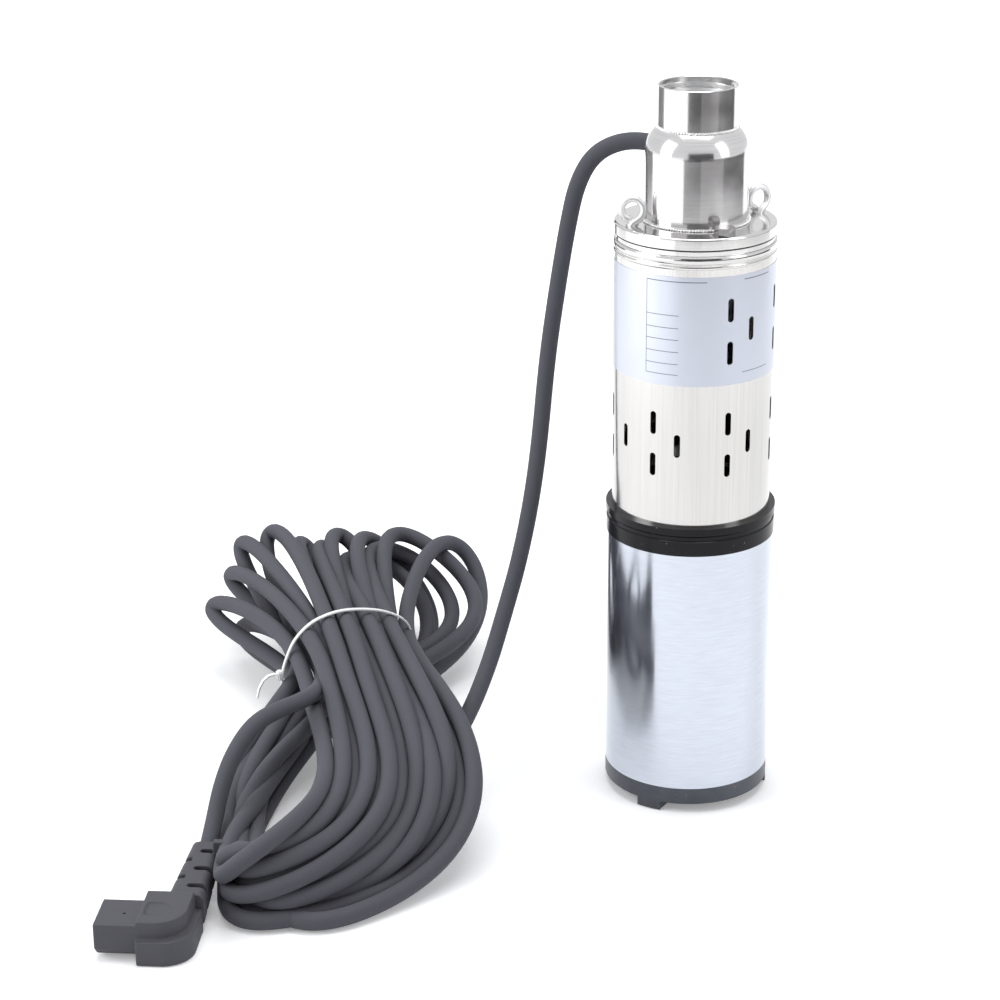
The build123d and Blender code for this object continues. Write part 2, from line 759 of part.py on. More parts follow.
with BuildPart() as inner_gland:
    with BuildSketch(Plane.XY.offset(web_top)):
        with Locations((inner_point.X, inner_point.Y)):
            Circle(inner_gland_radius)
            Circle(cable_radius + fit_gap, mode=Mode.SUBTRACT)
    extrude(amount=inner_gland_height)
    with BuildSketch(Plane.XY.offset(web_top)):
        with Locations((inner_point.X, inner_point.Y)):
            Circle(gland_neck_radius)
    extrude(amount=gland_neck_end - web_top)
save(inner_gland, "inner_gland")

# Cord: the lead from the grommet to the hank, a chosen point for each bend
lead_points = [
    (grommet_point.X, grommet_point.Y, lead_start),
    (grommet_point.X, grommet_point.Y, flange_top + 8.0),
    (8.6, 29.0, 292.3),
    (-2.6, 35.3, 299.3),
    (-15.9, 43.5, 300.4),
    (-27.6, 51.0, 293.6),
    (-34.2, 55.2, 279.5),
    (-37.4, 57.7, 261.0),
    (-41.0, 60.5, 234.0),
    (-46.0, 62.5, 196.0),
    (-51.0, 59.5, 156.0),
    (-57.0, 55.4, 127.0),
    (-65.0, 51.4, 99.0),
    (-75.0, 45.1, 76.5),
    (-86.0, 36.0, 56.0),
    (-99.0, 25.5, 38.0),
    (-117.1, 8.3, 29.0),
]
tail_points = [
    (-192.6, 30.6, 51.0),
    (-210.4, 25.5, 48.0),
    (-222.6, 17.9, 33.0),
    (-229.0, 9.9, 19.5),
    (-232.2, -0.8, 12.0),
    (-236.7, -13.0, 11.0),
]


def bend_radii(points):
    """The largest radius that both runs beside each bend allow."""
    radii = []
    for before, here, after in zip(points, points[1:], points[2:]):
        run_in = Vector(*here) - Vector(*before)
        run_out = Vector(*after) - Vector(*here)
        half_turn = radians(run_in.get_angle(run_out)) / 2
        radii.append(0.45 * min(run_in.length, run_out.length) / tan(half_turn))
    return radii


for name, points in (("cable_lead", lead_points), ("cable_tail", tail_points)):
    radii = bend_radii(points)
    with BuildPart() as cord:
        with BuildLine() as route:
            FilletPolyline(*points, radius=radii)
        with BuildSketch(Plane(origin=route.line @ 0, z_dir=route.line % 0)):
            Circle(cable_radius)
        sweep(path=route.line)
    save(cord, name)
    print(name, "radii", [round(radius, 1) for radius in radii])
    swept = pi * cable_radius**2 * route.wire().length
    print(name, "volume", round(cord.part.volume), "section x length", round(swept))

# Hank: a closed form through sections across it, twisted and drawn in at the waist where the tie holds it
hank_place = (-129.8, 86.6)
hank_turn = -24.5
tie_width = 2.4
tie_thickness = 1.1
tie_clearance = 2 * running_gap
tie_lock = (3.6, 5.0, 5.0)
waist_place = (-12.0, 16.0)
waist_turn = 27.1
waist_size = (70.0, 66.0)
waist_lift = tie_thickness + tie_clearance + running_gap
waist_middle = waist_size[1] / 2 + waist_lift

# Along the hank, to its side, width, height, lift off the floor and turn, from the near end to the far end
hank_sections = [
    (-188.0, -18.0, 34.0, 18.0, 6.0, 0.0),
    (-178.0, -13.0, 60.0, 34.0, 2.0, 0.0),
    (-160.0, -6.0, 76.0, 43.0, 0.5, 0.0),
    (-138.0, 5.0, 98.0, 46.0, 0.5, 0.0),
    (-114.0, 1.0, 122.0, 49.0, 0.5, 0.0),
    (-85.0, -2.0, 126.0, 53.0, 0.5, 0.0),
    (-55.0, -7.0, 114.0, 58.0, 0.5, 4.0),
    (-20.0, -7.0, 86.0, 62.0, 0.5, 16.0),
    (waist_place[1], waist_place[0], *waist_size, waist_lift, waist_turn),
    (50.0, -26.0, 98.0, 67.0, 1.0, 16.0),
    (80.0, -26.0, 134.0, 67.0, 2.0, 4.0),
    (105.0, -24.0, 140.0, 58.0, 10.0, 0.0),
    (128.0, -22.0, 132.0, 42.0, 22.0, 0.0),
    (143.0, -26.0, 88.0, 28.0, 30.0, 0.0),
    (151.0, -28.0, 40.0, 14.0, 38.0, 0.0),
]
hank_frame = Plane((*hank_place, 0), x_dir=around(hank_turn, 1), z_dir=(0, 0, 1))


def hank_section_plane(along, side, height, turn):
    """A plane across the hank, centred at a height above the floor and turned about the vertical."""
    return Plane(
        hank_frame.from_local_coords((side, along, height)),
        x_dir=around(hank_turn + turn, 1),
        z_dir=around(hank_turn + turn + 90, 1),
    )


with BuildPart() as cable_hank:
    for along, side, width, height, lift, turn in hank_sections:
        with BuildSketch(hank_section_plane(along, side, height / 2 + lift, turn)):
            Ellipse(width / 2, height / 2)
    loft()
save(cable_hank, "cable_hank")

# Tie round the hank's waist, with its lock
waist_plane = hank_section_plane(waist_place[1], waist_place[0], waist_middle, waist_turn)
with BuildPart() as cable_tie:
    inner_size = [side / 2 + tie_clearance for side in waist_size]
    with BuildSketch(waist_plane.offset(-tie_width / 2)):
        Ellipse(inner_size[0] + tie_thickness, inner_size[1] + tie_thickness)
        Ellipse(*inner_size, mode=Mode.SUBTRACT)
    extrude(amount=tie_width)
    with BuildSketch(waist_plane.offset(-tie_lock[1] / 2)):
        with Locations((-inner_size[0] - tie_thickness / 2, 0)):
            Rectangle(tie_lock[0], tie_lock[2], align=(Align.MAX, Align.CENTER))
    extrude(amount=tie_lock[1])
save(cable_tie, "cable_tie")

# Plug: an angled moulded body lying on the floor, a chamfered head and a notched strain relief
plug_root = (-256.6, -56.7)
plug_turn = -24.5
relief_length = 48.0
relief_root_height = 10.0
relief_tip = (12.4, 11.6)
relief_root = (16.0, 15.0)
relief_corner = 3.0
relief_core = cable_radius + 0.6
body_box = (23.0, 30.0, 19.0)
body_side = 7.0
body_step = 11.0
body_inset = 3.0
body_corner = 13.0
head_size = (24.0, 16.0)
head_length = 18.0
head_chamfer = 4.6
head_lift = 1.2
notch_width = 2.6
notch_length = 8.6
notch_count = 3
notch_first = 8.0
notch_step = 13.0
contact_places = ((-7.0, 6.6), (7.0, 6.6), (0.0, 11.0))
contact_opening = (2.6, 5.0)
contact_depth = 12.0
contact_sheet = 0.5
panel_size = (9.0, 11.0)
panel_depth = 0.5
tail_height = 11.0
plug_frame = Plane((*plug_root, 0), x_dir=around(plug_turn, 1), z_dir=(0, 0, 1))


def plug_face(side, along, height):
    """A plane across the plug, facing the way the cord leaves."""
    return Plane(plug_frame.from_local_coords((side, along, height)), x_dir=plug_frame.x_dir, z_dir=plug_frame.y_dir)


head_middle = -body_box[1] / 2
head_face = body_side - body_box[0] - head_length
mating_face = Plane(
    plug_frame.from_local_coords((head_face, head_middle, head_lift)),
    x_dir=plug_frame.y_dir,
    z_dir=plug_frame.x_dir,
)
with BuildPart() as plug_body:
    left = body_side - body_box[0]
    for inset, bottom, top in ((0, 0, body_step), (body_inset, body_step, body_box[2])):
        right = body_side - inset
        near = inset - body_box[1]
        with BuildSketch(plug_frame.offset(bottom)):
            with BuildLine():
                Polyline((right - body_corner, near), (left, near), (left, 0), (right, 0), (right, near + body_corner))
                RadiusArc((right, near + body_corner), (right - body_corner, near), body_corner)
            make_face()
        extrude(amount=top - bottom)
    half_width = head_size[0] / 2
    with BuildSketch(mating_face):
        with BuildLine():
            Polyline(
                (-half_width, head_chamfer),
                (-half_width + head_chamfer, 0),
                (half_width - head_chamfer, 0),
                (half_width, head_chamfer),
                (half_width, head_size[1] - 2.4),
                (half_width - 2.4, head_size[1]),
                (-half_width, head_size[1]),
                close=True,
            )
        make_face()
    extrude(amount=head_length + 2)
    with BuildSketch(mating_face):
        with Locations(*contact_places):
            Rectangle(*contact_opening)
    extrude(amount=contact_depth, mode=Mode.SUBTRACT)
    with BuildSketch(plug_frame.offset(body_box[2])):
        with Locations((left + panel_size[0] * 0.7, head_middle)):
            RectangleRounded(*panel_size, panel_size[0] / 3)
    extrude(amount=-panel_depth, mode=Mode.SUBTRACT)
save(plug_body, "plug_body")

# Contacts: a folded sleeve in each opening of the plug's face
with BuildPart() as plug_contacts:
    sleeve_size = [side - 2 * fit_gap for side in contact_opening]
    with BuildSketch(mating_face.offset(contact_depth / 4)):
        with Locations(*contact_places):
            Rectangle(*sleeve_size)
            Rectangle(*[side - contact_sheet * 2 for side in sleeve_size], mode=Mode.SUBTRACT)
    extrude(amount=contact_depth * 3 / 4)
save(plug_contacts, "plug_contacts")

# Strain relief: a tapered sleeve whose notches face up and sideways in turn
with BuildPart() as plug_relief:
    for along, height, size in ((0, relief_root_height, relief_root), (relief_length, tail_height, relief_tip)):
        with BuildSketch(plug_face(0, along, height)):
            RectangleRounded(*size, relief_corner)
    loft()
    for step in range(notch_count):
        upper = notch_first + step * notch_step
        lower = upper + notch_step / 2
        with BuildSketch(plug_face(0, upper - notch_width / 2, relief_root_height)):
            with Locations((0, relief_core)):
                Rectangle(notch_length, relief_root[1], align=(Align.CENTER, Align.MIN))
        extrude(amount=notch_width, mode=Mode.SUBTRACT)
        with BuildSketch(plug_face(0, lower - notch_width / 2, relief_root_height)):
            with Locations((relief_core, 0)):
                Rectangle(relief_root[0], notch_length, align=(Align.MIN, Align.CENTER))
            with Locations((-relief_core, 0)):
                Rectangle(relief_root[0], notch_length, align=(Align.MAX, Align.CENTER))
        extrude(amount=notch_width, mode=Mode.SUBTRACT)
save(plug_relief, "plug_relief")
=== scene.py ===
"""Looks of an upright submersible screw pump with its supply cord tied in a hank."""

import json
import math
import random

import bmesh
import bpy
import numpy as np
from mathutils import Matrix, Vector


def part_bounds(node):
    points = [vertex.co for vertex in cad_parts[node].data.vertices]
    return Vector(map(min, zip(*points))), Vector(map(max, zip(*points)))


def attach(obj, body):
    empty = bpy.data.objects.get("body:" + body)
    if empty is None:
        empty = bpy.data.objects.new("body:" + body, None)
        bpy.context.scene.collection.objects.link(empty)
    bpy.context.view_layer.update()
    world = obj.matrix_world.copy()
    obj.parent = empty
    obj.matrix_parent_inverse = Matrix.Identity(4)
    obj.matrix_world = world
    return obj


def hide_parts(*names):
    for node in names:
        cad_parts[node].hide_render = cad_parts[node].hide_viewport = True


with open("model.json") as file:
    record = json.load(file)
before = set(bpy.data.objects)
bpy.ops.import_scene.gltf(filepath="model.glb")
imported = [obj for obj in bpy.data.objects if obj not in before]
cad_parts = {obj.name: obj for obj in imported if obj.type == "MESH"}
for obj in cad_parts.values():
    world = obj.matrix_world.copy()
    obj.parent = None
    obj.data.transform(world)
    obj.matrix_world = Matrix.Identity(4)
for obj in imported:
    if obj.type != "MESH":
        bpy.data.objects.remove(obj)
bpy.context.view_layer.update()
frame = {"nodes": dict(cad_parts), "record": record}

bl_info = {
    "name": "Submersible Pump",
    "version": (1, 0, 0),
    "blender": (4, 5, 0),
    "location": "View3D > Sidebar > Pump",
    "description": "Builds the cord, the fine details, the finishes and the stage of a submersible pump",
    "category": "Add Mesh",
}

MM = 0.001
HOUSING = "pump_housing"

# Parts whose finish differs from the rest of their material slot
OWN_FINISHES = {"filter_tube": "filter_tube"}

# The hank's own frame on the floor: across, along and up, in millimetres
HANK_PLACE = (-129.8, 86.6)
HANK_TURN = math.radians(-24.5)
TURN_COUNT = 13
TIE_CENTRE = np.array((-12.0, 16.0, 0.0))
TIE_ALONG = np.array((0.89, 0.456, 0.0))
TIE_ACROSS = np.array((0.456, -0.89, 0.0))
TIE_MIDDLE_HEIGHT = 35.0


def part_box(node):
    """The lowest and highest corner of a node, as vectors."""
    low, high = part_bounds(node)
    return Vector(low), Vector(high)


def to_model(points):
    """Points of the hank's frame, in millimetres, as points of the model in metres."""
    points = np.asarray(points, float)
    cosine, sine = math.cos(HANK_TURN), math.sin(HANK_TURN)
    model = points.copy()
    model[:, 0] = HANK_PLACE[0] + cosine * points[:, 0] - sine * points[:, 1]
    model[:, 1] = HANK_PLACE[1] + sine * points[:, 0] + cosine * points[:, 1]
    return model * MM


def to_hank(points):
    """Points of the model, in metres, as points of the hank's frame in millimetres."""
    points = np.asarray(points, float) / MM
    cosine, sine = math.cos(HANK_TURN), math.sin(HANK_TURN)
    across = points[:, 0] - HANK_PLACE[0]
    along = points[:, 1] - HANK_PLACE[1]
    hank = points.copy()
    hank[:, 0] = cosine * across + sine * along
    hank[:, 1] = -sine * across + cosine * along
    return hank


# ---- Settings ----


class CordSettings(bpy.types.PropertyGroup):
    """Sizes and colour of the supply cord and its tie"""

    diameter: bpy.props.FloatProperty(
        name="Diameter", description="Outer diameter of the cord", default=0.008, min=0.004, unit="LENGTH"
    )
    length: bpy.props.FloatProperty(
        name="Length", description="Length of the cord from the grommet to the plug", default=9.1, unit="LENGTH"
    )
    color: bpy.props.FloatVectorProperty(
        name="Jacket", description="Colour of the cord's jacket", default=(0.031, 0.031, 0.039), size=3, subtype="COLOR"
    )
    tie_width: bpy.props.FloatProperty(
        name="Tie Width", description="Width of the tie's band", default=0.0021, unit="LENGTH"
    )
    tie_color: bpy.props.FloatVectorProperty(
        name="Tie", description="Colour of the tie", default=(0.87, 0.87, 0.88), size=3, subtype="COLOR"
    )


class MetalSettings(bpy.types.PropertyGroup):
    """Sizes and colours of the metal pieces"""

    eye_wire: bpy.props.FloatProperty(
        name="Eye Wire", description="Thickness of the lifting eyes' wire", default=0.0032, unit="LENGTH"
    )
    thread_pitch: bpy.props.FloatProperty(
        name="Thread Pitch", description="Height of one turn of the outlet's thread", default=0.002309, unit="LENGTH"
    )
    tube_color: bpy.props.FloatVectorProperty(
        name="Tubes", description="Colour of the polished tubes", default=(0.57, 0.605, 0.67), size=3, subtype="COLOR"
    )
    filter_color: bpy.props.FloatVectorProperty(
        name="Filter", description="Colour of the slotted tube", default=(0.6, 0.59, 0.575), size=3, subtype="COLOR"
    )
    head_color: bpy.props.FloatVectorProperty(
        name="Head", description="Colour of the brushed head", default=(0.64, 0.63, 0.63), size=3, subtype="COLOR"
    )
    foil_color: bpy.props.FloatVectorProperty(
        name="Foil", description="Colour of the foil band", default=(0.6, 0.63, 0.71), size=3, subtype="COLOR"
    )
    base_color: bpy.props.FloatVectorProperty(
        name="Base", description="Colour of the cast base", default=(0.045, 0.053, 0.068), size=3, subtype="COLOR"
    )


class StageSettings(bpy.types.PropertyGroup):
    """Floor, lights and camera"""

    floor_size: bpy.props.FloatProperty(
        name="Floor", description="Side of the floor", default=14.0, unit="LENGTH"
    )
    floor_color: bpy.props.FloatVectorProperty(
        name="Floor", description="Colour of the floor", default=(0.93, 0.935, 0.95), size=3, subtype="COLOR"
    )
    lens: bpy.props.FloatProperty(name="Lens", description="Focal length of the camera", default=92.07, unit="CAMERA")


# ---- Node materials ----


def add(tree, kind, inputs=None, **settings):
    """A new node with its settings, and its inputs linked or set."""
    made = tree.nodes.new(kind)
    for name, value in settings.items():
        setattr(made, name, value)
    for key, value in (inputs or {}).items():
        if isinstance(value, bpy.types.NodeSocket):
            tree.links.new(value, made.inputs[key])
        else:
            made.inputs[key].default_value = value
    return made


def new_material(name, color, roughness, metallic=0.0, **more):
    """A material with one principled shader, its tree and the shader."""
    material = bpy.data.materials.new(name)
    material.use_nodes = True
    tree = material.node_tree
    tree.nodes.clear()
    values = {"Base Color": (*color, 1), "Roughness": roughness, "Metallic": metallic, **more}
    shader = add(tree, "ShaderNodeBsdfPrincipled", values)
    add(tree, "ShaderNodeOutputMaterial", {"Surface": shader.outputs[0]})
    material.diffuse_color = (*color, 1)
    return material, tree, shader


def maths(tree, operation, *values):
    """The result of a math node."""
    return add(tree, "ShaderNodeMath", dict(enumerate(values)), operation=operation).outputs[0]


def coordinates(tree, stretch=(1, 1, 1)):
    """Object coordinates, stretched."""
    source = add(tree, "ShaderNodeTexCoord").outputs["Object"]
    return add(tree, "ShaderNodeMapping", {"Vector": source, "Scale": stretch}).outputs[0]


def noise(tree, scale, detail=3.0, stretch=(1, 1, 1), rough=0.5):
    """Noise on object coordinates."""
    values = {"Vector": coordinates(tree, stretch), "Scale": scale, "Detail": detail, "Roughness": rough}
    return add(tree, "ShaderNodeTexNoise", values).outputs["Fac"]


def spread(tree, value, low, high, start=0.3, end=0.7):
    """A value brought from one range into another."""
    values = {"Value": value, "From Min": start, "From Max": end, "To Min": low, "To Max": high}
    return add(tree, "ShaderNodeMapRange", values).outputs[0]


def blend_color(tree, factor, first, second):
    """A colour between two others."""
    mixed = add(tree, "ShaderNodeMix", data_type="RGBA")
    tree.links.new(factor, mixed.inputs[0])
    for socket, color in ((mixed.inputs[6], first), (mixed.inputs[7], second)):
        if isinstance(color, bpy.types.NodeSocket):
            tree.links.new(color, socket)
        else:
            socket.default_value = (*color, 1)
    return mixed.outputs[2]


def bump(tree, shader, height, depth, strength=1.0):
    """Joins a height to the shader's normal; the depth is in metres."""
    values = {"Height": height, "Distance": depth, "Strength": strength}
    tree.links.new(add(tree, "ShaderNodeBump", values).outputs[0], shader.inputs["Normal"])


def link(tree, value, shader, name):
    """Joins a value to one of the shader's inputs."""
    tree.links.new(value, shader.inputs[name])


def scaled(color, factor):
    """A colour made lighter or darker."""
    return tuple(min(1.0, part * factor) for part in color)


def metal_finish(name, color, roughness, grain=(60, 60, 2000), grain_depth=2e-6, cloud=0.06, brushed=0.0, turn=0.25):
    """Metal with fine grain along one direction and slow changes of gloss."""
    material, tree, shader = new_material(name, color, roughness, 1.0)
    if brushed:
        shader.inputs["Anisotropic"].default_value = brushed
        shader.inputs["Anisotropic Rotation"].default_value = turn
        link(tree, add(tree, "ShaderNodeTangent", direction_type="RADIAL", axis="Z").outputs[0], shader, "Tangent")
    lines = noise(tree, 1.0, 3.0, grain, 0.6)
    clouds = noise(tree, 45.0, 3.0)
    gloss = spread(tree, clouds, roughness * 0.8, roughness * 1.25 + cloud)
    link(tree, gloss, shader, "Roughness")
    tint = spread(tree, lines, 0.0, 1.0)
    link(tree, blend_color(tree, tint, scaled(color, 0.93), scaled(color, 1.04)), shader, "Base Color")
    bump(tree, shader, lines, grain_depth)
    return material


def soft_finish(name, color, roughness, grain=1800.0, depth=2.5e-5, change=0.14):
    """Rubber or moulded plastic with a fine grain and faint smears."""
    material, tree, shader = new_material(name, color, roughness)
    clouds = noise(tree, 60.0, 4.0)
    link(tree, spread(tree, clouds, roughness - 0.1, roughness + 0.1), shader, "Roughness")
    shade = spread(tree, clouds, 0.0, 1.0)
    link(
        tree, blend_color(tree, shade, scaled(color, 1 - change), scaled(color, 1 + change)), shader, "Base Color"
    )
    bump(tree, shader, noise(tree, grain, 2.0), depth)
    return material


def painted_finish(name, color, roughness, chip_color, chip_scale, chip_from, grain_depth, grain=900.0, coat=0.0):
    """Paint over metal, with small chips through it."""
    material, tree, shader = new_material(name, color, roughness, 0.0)
    shader.inputs["Coat Weight"].default_value = coat
    shader.inputs["Coat Roughness"].default_value = 0.08
    spots = noise(tree, chip_scale, 5.0, rough=0.65)
    chips = spread(tree, spots, 0.0, 1.0, chip_from, chip_from + 0.02)
    clouds = noise(tree, 70.0, 3.0)
    paint = blend_color(tree, spread(tree, clouds, 0.0, 1.0), scaled(color, 0.8), scaled(color, 1.3))
    link(tree, blend_color(tree, chips, paint, chip_color), shader, "Base Color")
    link(tree, spread(tree, chips, roughness, 0.5, 0.0, 1.0), shader, "Roughness")
    grain_height = noise(tree, grain, 3.0)
    bump(tree, shader, maths(tree, "SUBTRACT", grain_height, chips), grain_depth)
    return material


def line_mask(tree, value, place, half_width):
    """One where a value lies within a line, nought elsewhere."""
    distance = maths(tree, "ABSOLUTE", maths(tree, "SUBTRACT", value, place))
    return maths(tree, "LESS_THAN", distance, half_width)


def foil_finish(name, color):
    """Satin foil with a thin printed frame and empty table lines."""
    material, tree, shader = new_material(name, color, 0.3, 0.55)
    axes = add(tree, "ShaderNodeSeparateXYZ", {0: coordinates(tree)}).outputs
    angle = maths(tree, "ARCTAN2", axes[1], axes[0])
    height = axes[2]
    low, high = part_box("foil_band")
    frame_left = math.radians(-149.1)
    frame_right = math.radians(-125.0)
    rows = (0.103, 0.2015, 0.313, 0.425, 0.532, 0.648)
    line = 0.00016
    beside = maths(tree, "MULTIPLY", maths(tree, "GREATER_THAN", angle, frame_left),
                   maths(tree, "LESS_THAN", angle, frame_right))
    span = high.z - low.z
    mask = None
    for row in rows:
        here = line_mask(tree, height, low.z + span * row, line)
        mask = here if mask is None else maths(tree, "ADD", mask, here)
    mask = maths(tree, "MULTIPLY", mask, beside)
    top = line_mask(tree, height, high.z - 0.0022, line * 1.3)
    upright = line_mask(tree, angle, frame_left, line / 0.036)
    inside = maths(tree, "MULTIPLY", maths(tree, "GREATER_THAN", height, low.z + span * rows[0]),
                   maths(tree, "LESS_THAN", height, high.z - 0.0022))
    upright = maths(tree, "MULTIPLY", upright, inside)
    spans = None
    for start, end in ((-149.1, -106.0), (-78.0, -52.0)):
        here = maths(tree, "MULTIPLY", maths(tree, "GREATER_THAN", angle, math.radians(start)),
                     maths(tree, "LESS_THAN", angle, math.radians(end)))
        spans = here if spans is None else maths(tree, "ADD", spans, here)
    far_side = maths(tree, "MULTIPLY", line_mask(tree, height, low.z + span * rows[0], line), here)
    top = maths(tree, "ADD", maths(tree, "MULTIPLY", top, spans), far_side)
    ink = maths(tree, "MINIMUM", maths(tree, "ADD", maths(tree, "ADD", mask, upright), top), 1.0)
    clouds = noise(tree, 40.0, 3.0)
    plain = blend_color(tree, clouds, scaled(color, 0.95), scaled(color, 1.05))
    link(tree, blend_color(tree, ink, plain, (0.16, 0.17, 0.2)), shader, "Base Color")
    link(tree, spread(tree, clouds, 0.24, 0.36, 0.0, 1.0), shader, "Roughness")
    bump(tree, shader, noise(tree, 1.0, 2.0, (1500, 1500, 200)), 3e-6)
    return material


def layered_finish(name, color, second, sheet):
    """Stacked sheets that show as fine lines round the piece."""
    material, tree, shader = new_material(name, color, 0.45, 0.8)
    height = add(tree, "ShaderNodeSeparateXYZ", {0: coordinates(tree)}).outputs[2]
    wave = maths(tree, "SINE", maths(tree, "MULTIPLY", height, 2 * math.pi / sheet))
    lines = spread(tree, wave, 0.0, 1.0, -1.0, 1.0)
    link(tree, blend_color(tree, lines, color, second), shader, "Base Color")
    bump(tree, shader, lines, 3e-5)
    return material


def make_finishes(metal, cord):
    """One material for each material slot of the record."""
    wrap = (900, 900, 12)
    finishes = {
        "polished_tube": metal_finish(
            "polished_tube", metal.tube_color, 0.13, (120, 120, 1500), 3e-7, 0.02, 0.6
        ),
        "filter_tube": metal_finish("filter_tube", metal.filter_color, 0.13, (1500, 1500, 14), 1.2e-6, 0.03, 0.5, 0.0),
        "head_steel": metal_finish("flange_steel", (0.63, 0.62, 0.61), 0.1, (25, 25, 1500), 1e-6, 0.03),
        "brushed_head": metal_finish("brushed_head", metal.head_color, 0.14, (30, 30, 1900), 2.5e-6, 0.04, 0.5),
        "fastener_steel": metal_finish("fastener_steel", (0.4, 0.39, 0.385), 0.12, (300, 300, 300), 2e-6, 0.03),
        "shaft_steel": metal_finish("shaft_steel", (0.62, 0.62, 0.63), 0.22, (60, 60, 2400), 3e-6),
        "bearing_steel": metal_finish("bearing_steel", (0.75, 0.75, 0.76), 0.08, (80, 80, 900), 1e-6),
        "barrel_steel": metal_finish("barrel_steel", (0.62, 0.62, 0.63), 0.25, wrap, 3e-6),
        "magnet": metal_finish("magnet_plating", (0.55, 0.55, 0.57), 0.15, (200, 200, 200), 2e-6),
        "rotor_chrome": metal_finish("rotor_chrome", (0.8, 0.8, 0.81), 0.07, (50, 50, 1500), 1e-6),
        "contact_brass": metal_finish("contact_brass", (0.78, 0.6, 0.3), 0.25, (400, 400, 400), 4e-6),
        "copper_winding": metal_finish("copper_winding", (0.72, 0.33, 0.14), 0.3, (1400, 1400, 90), 6e-5),
        "lamination": layered_finish("lamination", (0.32, 0.32, 0.33), (0.12, 0.12, 0.12), 0.0005),
        "cast_base": painted_finish(
            "cast_base", metal.base_color, 0.38, (0.22, 0.13, 0.08), 420.0, 0.66, 6e-5, 700.0, 0.08
        ),
        "black_ring": painted_finish(
            "black_ring", (0.006, 0.006, 0.008), 0.16, (0.45, 0.44, 0.43), 520.0, 0.685, 2e-5, 300.0
        ),
        "seal_rubber": soft_finish("seal_rubber", (0.02, 0.02, 0.022), 0.6),
        "stator_rubber": soft_finish("stator_rubber", (0.03, 0.03, 0.032), 0.55),
        "grommet_rubber": soft_finish("grommet_rubber", (0.03, 0.03, 0.034), 0.6),
        "gland_plastic": soft_finish("gland_plastic", (0.08, 0.08, 0.08), 0.45),
        "carbon": soft_finish("carbon", (0.05, 0.05, 0.052), 0.3, 900.0, 6e-6),
        "ceramic": soft_finish("ceramic", (0.85, 0.84, 0.8), 0.22, 600.0, 4e-6, 0.04),
        "plug_plastic": soft_finish("plug_plastic", (0.027, 0.027, 0.033), 0.5, 2600.0, 5e-5, 0.1),
        "cable_jacket": soft_finish("cable_jacket", cord.color, 0.37, 1500.0, 2.0e-5, 0.14),
        "tie_plastic": soft_finish("tie_plastic", cord.tie_color, 0.35, 800.0, 8e-6, 0.03),
        "foil": foil_finish("foil", metal.foil_color),
    }
    for node in finishes["black_ring"].node_tree.nodes:
        if node.type == "BSDF_PRINCIPLED":
            node.inputs["Specular IOR Level"].default_value = 0.2
    return finishes


def finish_named(name):
    """A material that the finishes operator has made."""
    material = bpy.data.materials.get(name)
    if material is None:
        raise RuntimeError("the finishes are made before the pieces: " + name)
    return material


# ---- Mesh helpers ----


def ring_profile(radius, sides):
    """A circle of points for a round section."""
    return [
        (radius * math.cos(2 * math.pi * side / sides), radius * math.sin(2 * math.pi * side / sides))
        for side in range(sides)
    ]


def sweep_frames(points, closed, fixed=None):
    """A pair of directions across the path at each point, carried along it without twist."""
    count = len(points)
    frames = []
    previous = None
    for index, point in enumerate(points):
        after = points[(index + 1) % count] if closed or index < count - 1 else point
        before = points[index - 1] if closed or index > 0 else point
        ahead = (after - before).normalized()
        if fixed is not None:
            side = fixed - ahead * fixed.dot(ahead)
        elif previous is None:
            side = ahead.orthogonal()
        else:
            side = previous - ahead * previous.dot(ahead)
        side.normalize()
        frames.append((side, ahead.cross(side)))
        previous = side
    return frames


def add_sweep(mesh, points, profile, closed=False, fixed=None, sizes=None):
    """Adds a solid that carries a section along a path."""
    points = [Vector(point) for point in points]
    rings = []
    for index, (side, other) in enumerate(sweep_frames(points, closed, fixed)):
        size = sizes[index] if sizes else 1.0
        rings.append(
            [mesh.verts.new(points[index] + side * (u * size) + other * (v * size)) for u, v in profile]
        )
    count = len(profile)
    pairs = list(zip(rings, rings[1:] + rings[:1])) if closed else list(zip(rings, rings[1:]))
    for first, second in pairs:
        for index in range(count):
            after = (index + 1) % count
            mesh.faces.new((first[index], first[after], second[after], second[index]))
    if not closed:
        mesh.faces.new(list(reversed(rings[0])))
        mesh.faces.new(rings[-1])


def add_lathe(mesh, outline, centre, segments=32):
    """Adds a solid of revolution; its outline of radius and height runs from axis to axis."""
    rings = []
    for radius, height in outline:
        if radius < 1e-9:
            rings.append([mesh.verts.new((centre[0], centre[1], height))])
            continue
        rings.append([
            mesh.verts.new((
                centre[0] + radius * math.cos(2 * math.pi * step / segments),
                centre[1] + radius * math.sin(2 * math.pi * step / segments),
                height,
            ))
            for step in range(segments)
        ])
    for first, second in zip(rings, rings[1:]):
        for step in range(segments):
            after = (step + 1) % segments
            corners = [first[step % len(first)], first[after % len(first)],
                       second[after % len(second)], second[step % len(second)]]
            unique = []
            for corner in corners:
                if corner not in unique:
                    unique.append(corner)
            mesh.faces.new(unique)


def add_ring(mesh, outline, segments):
    """Adds a closed ring whose section is a closed outline of radius and height."""
    rings = [
        [
            mesh.verts.new((
                radius * math.cos(2 * math.pi * step / segments),
                radius * math.sin(2 * math.pi * step / segments),
                height,
            ))
            for step in range(segments)
        ]
        for radius, height in outline
    ]
    for first, second in zip(rings, rings[1:] + rings[:1]):
        for step in range(segments):
            after = (step + 1) % segments
            mesh.faces.new((first[step], first[after], second[after], second[step]))


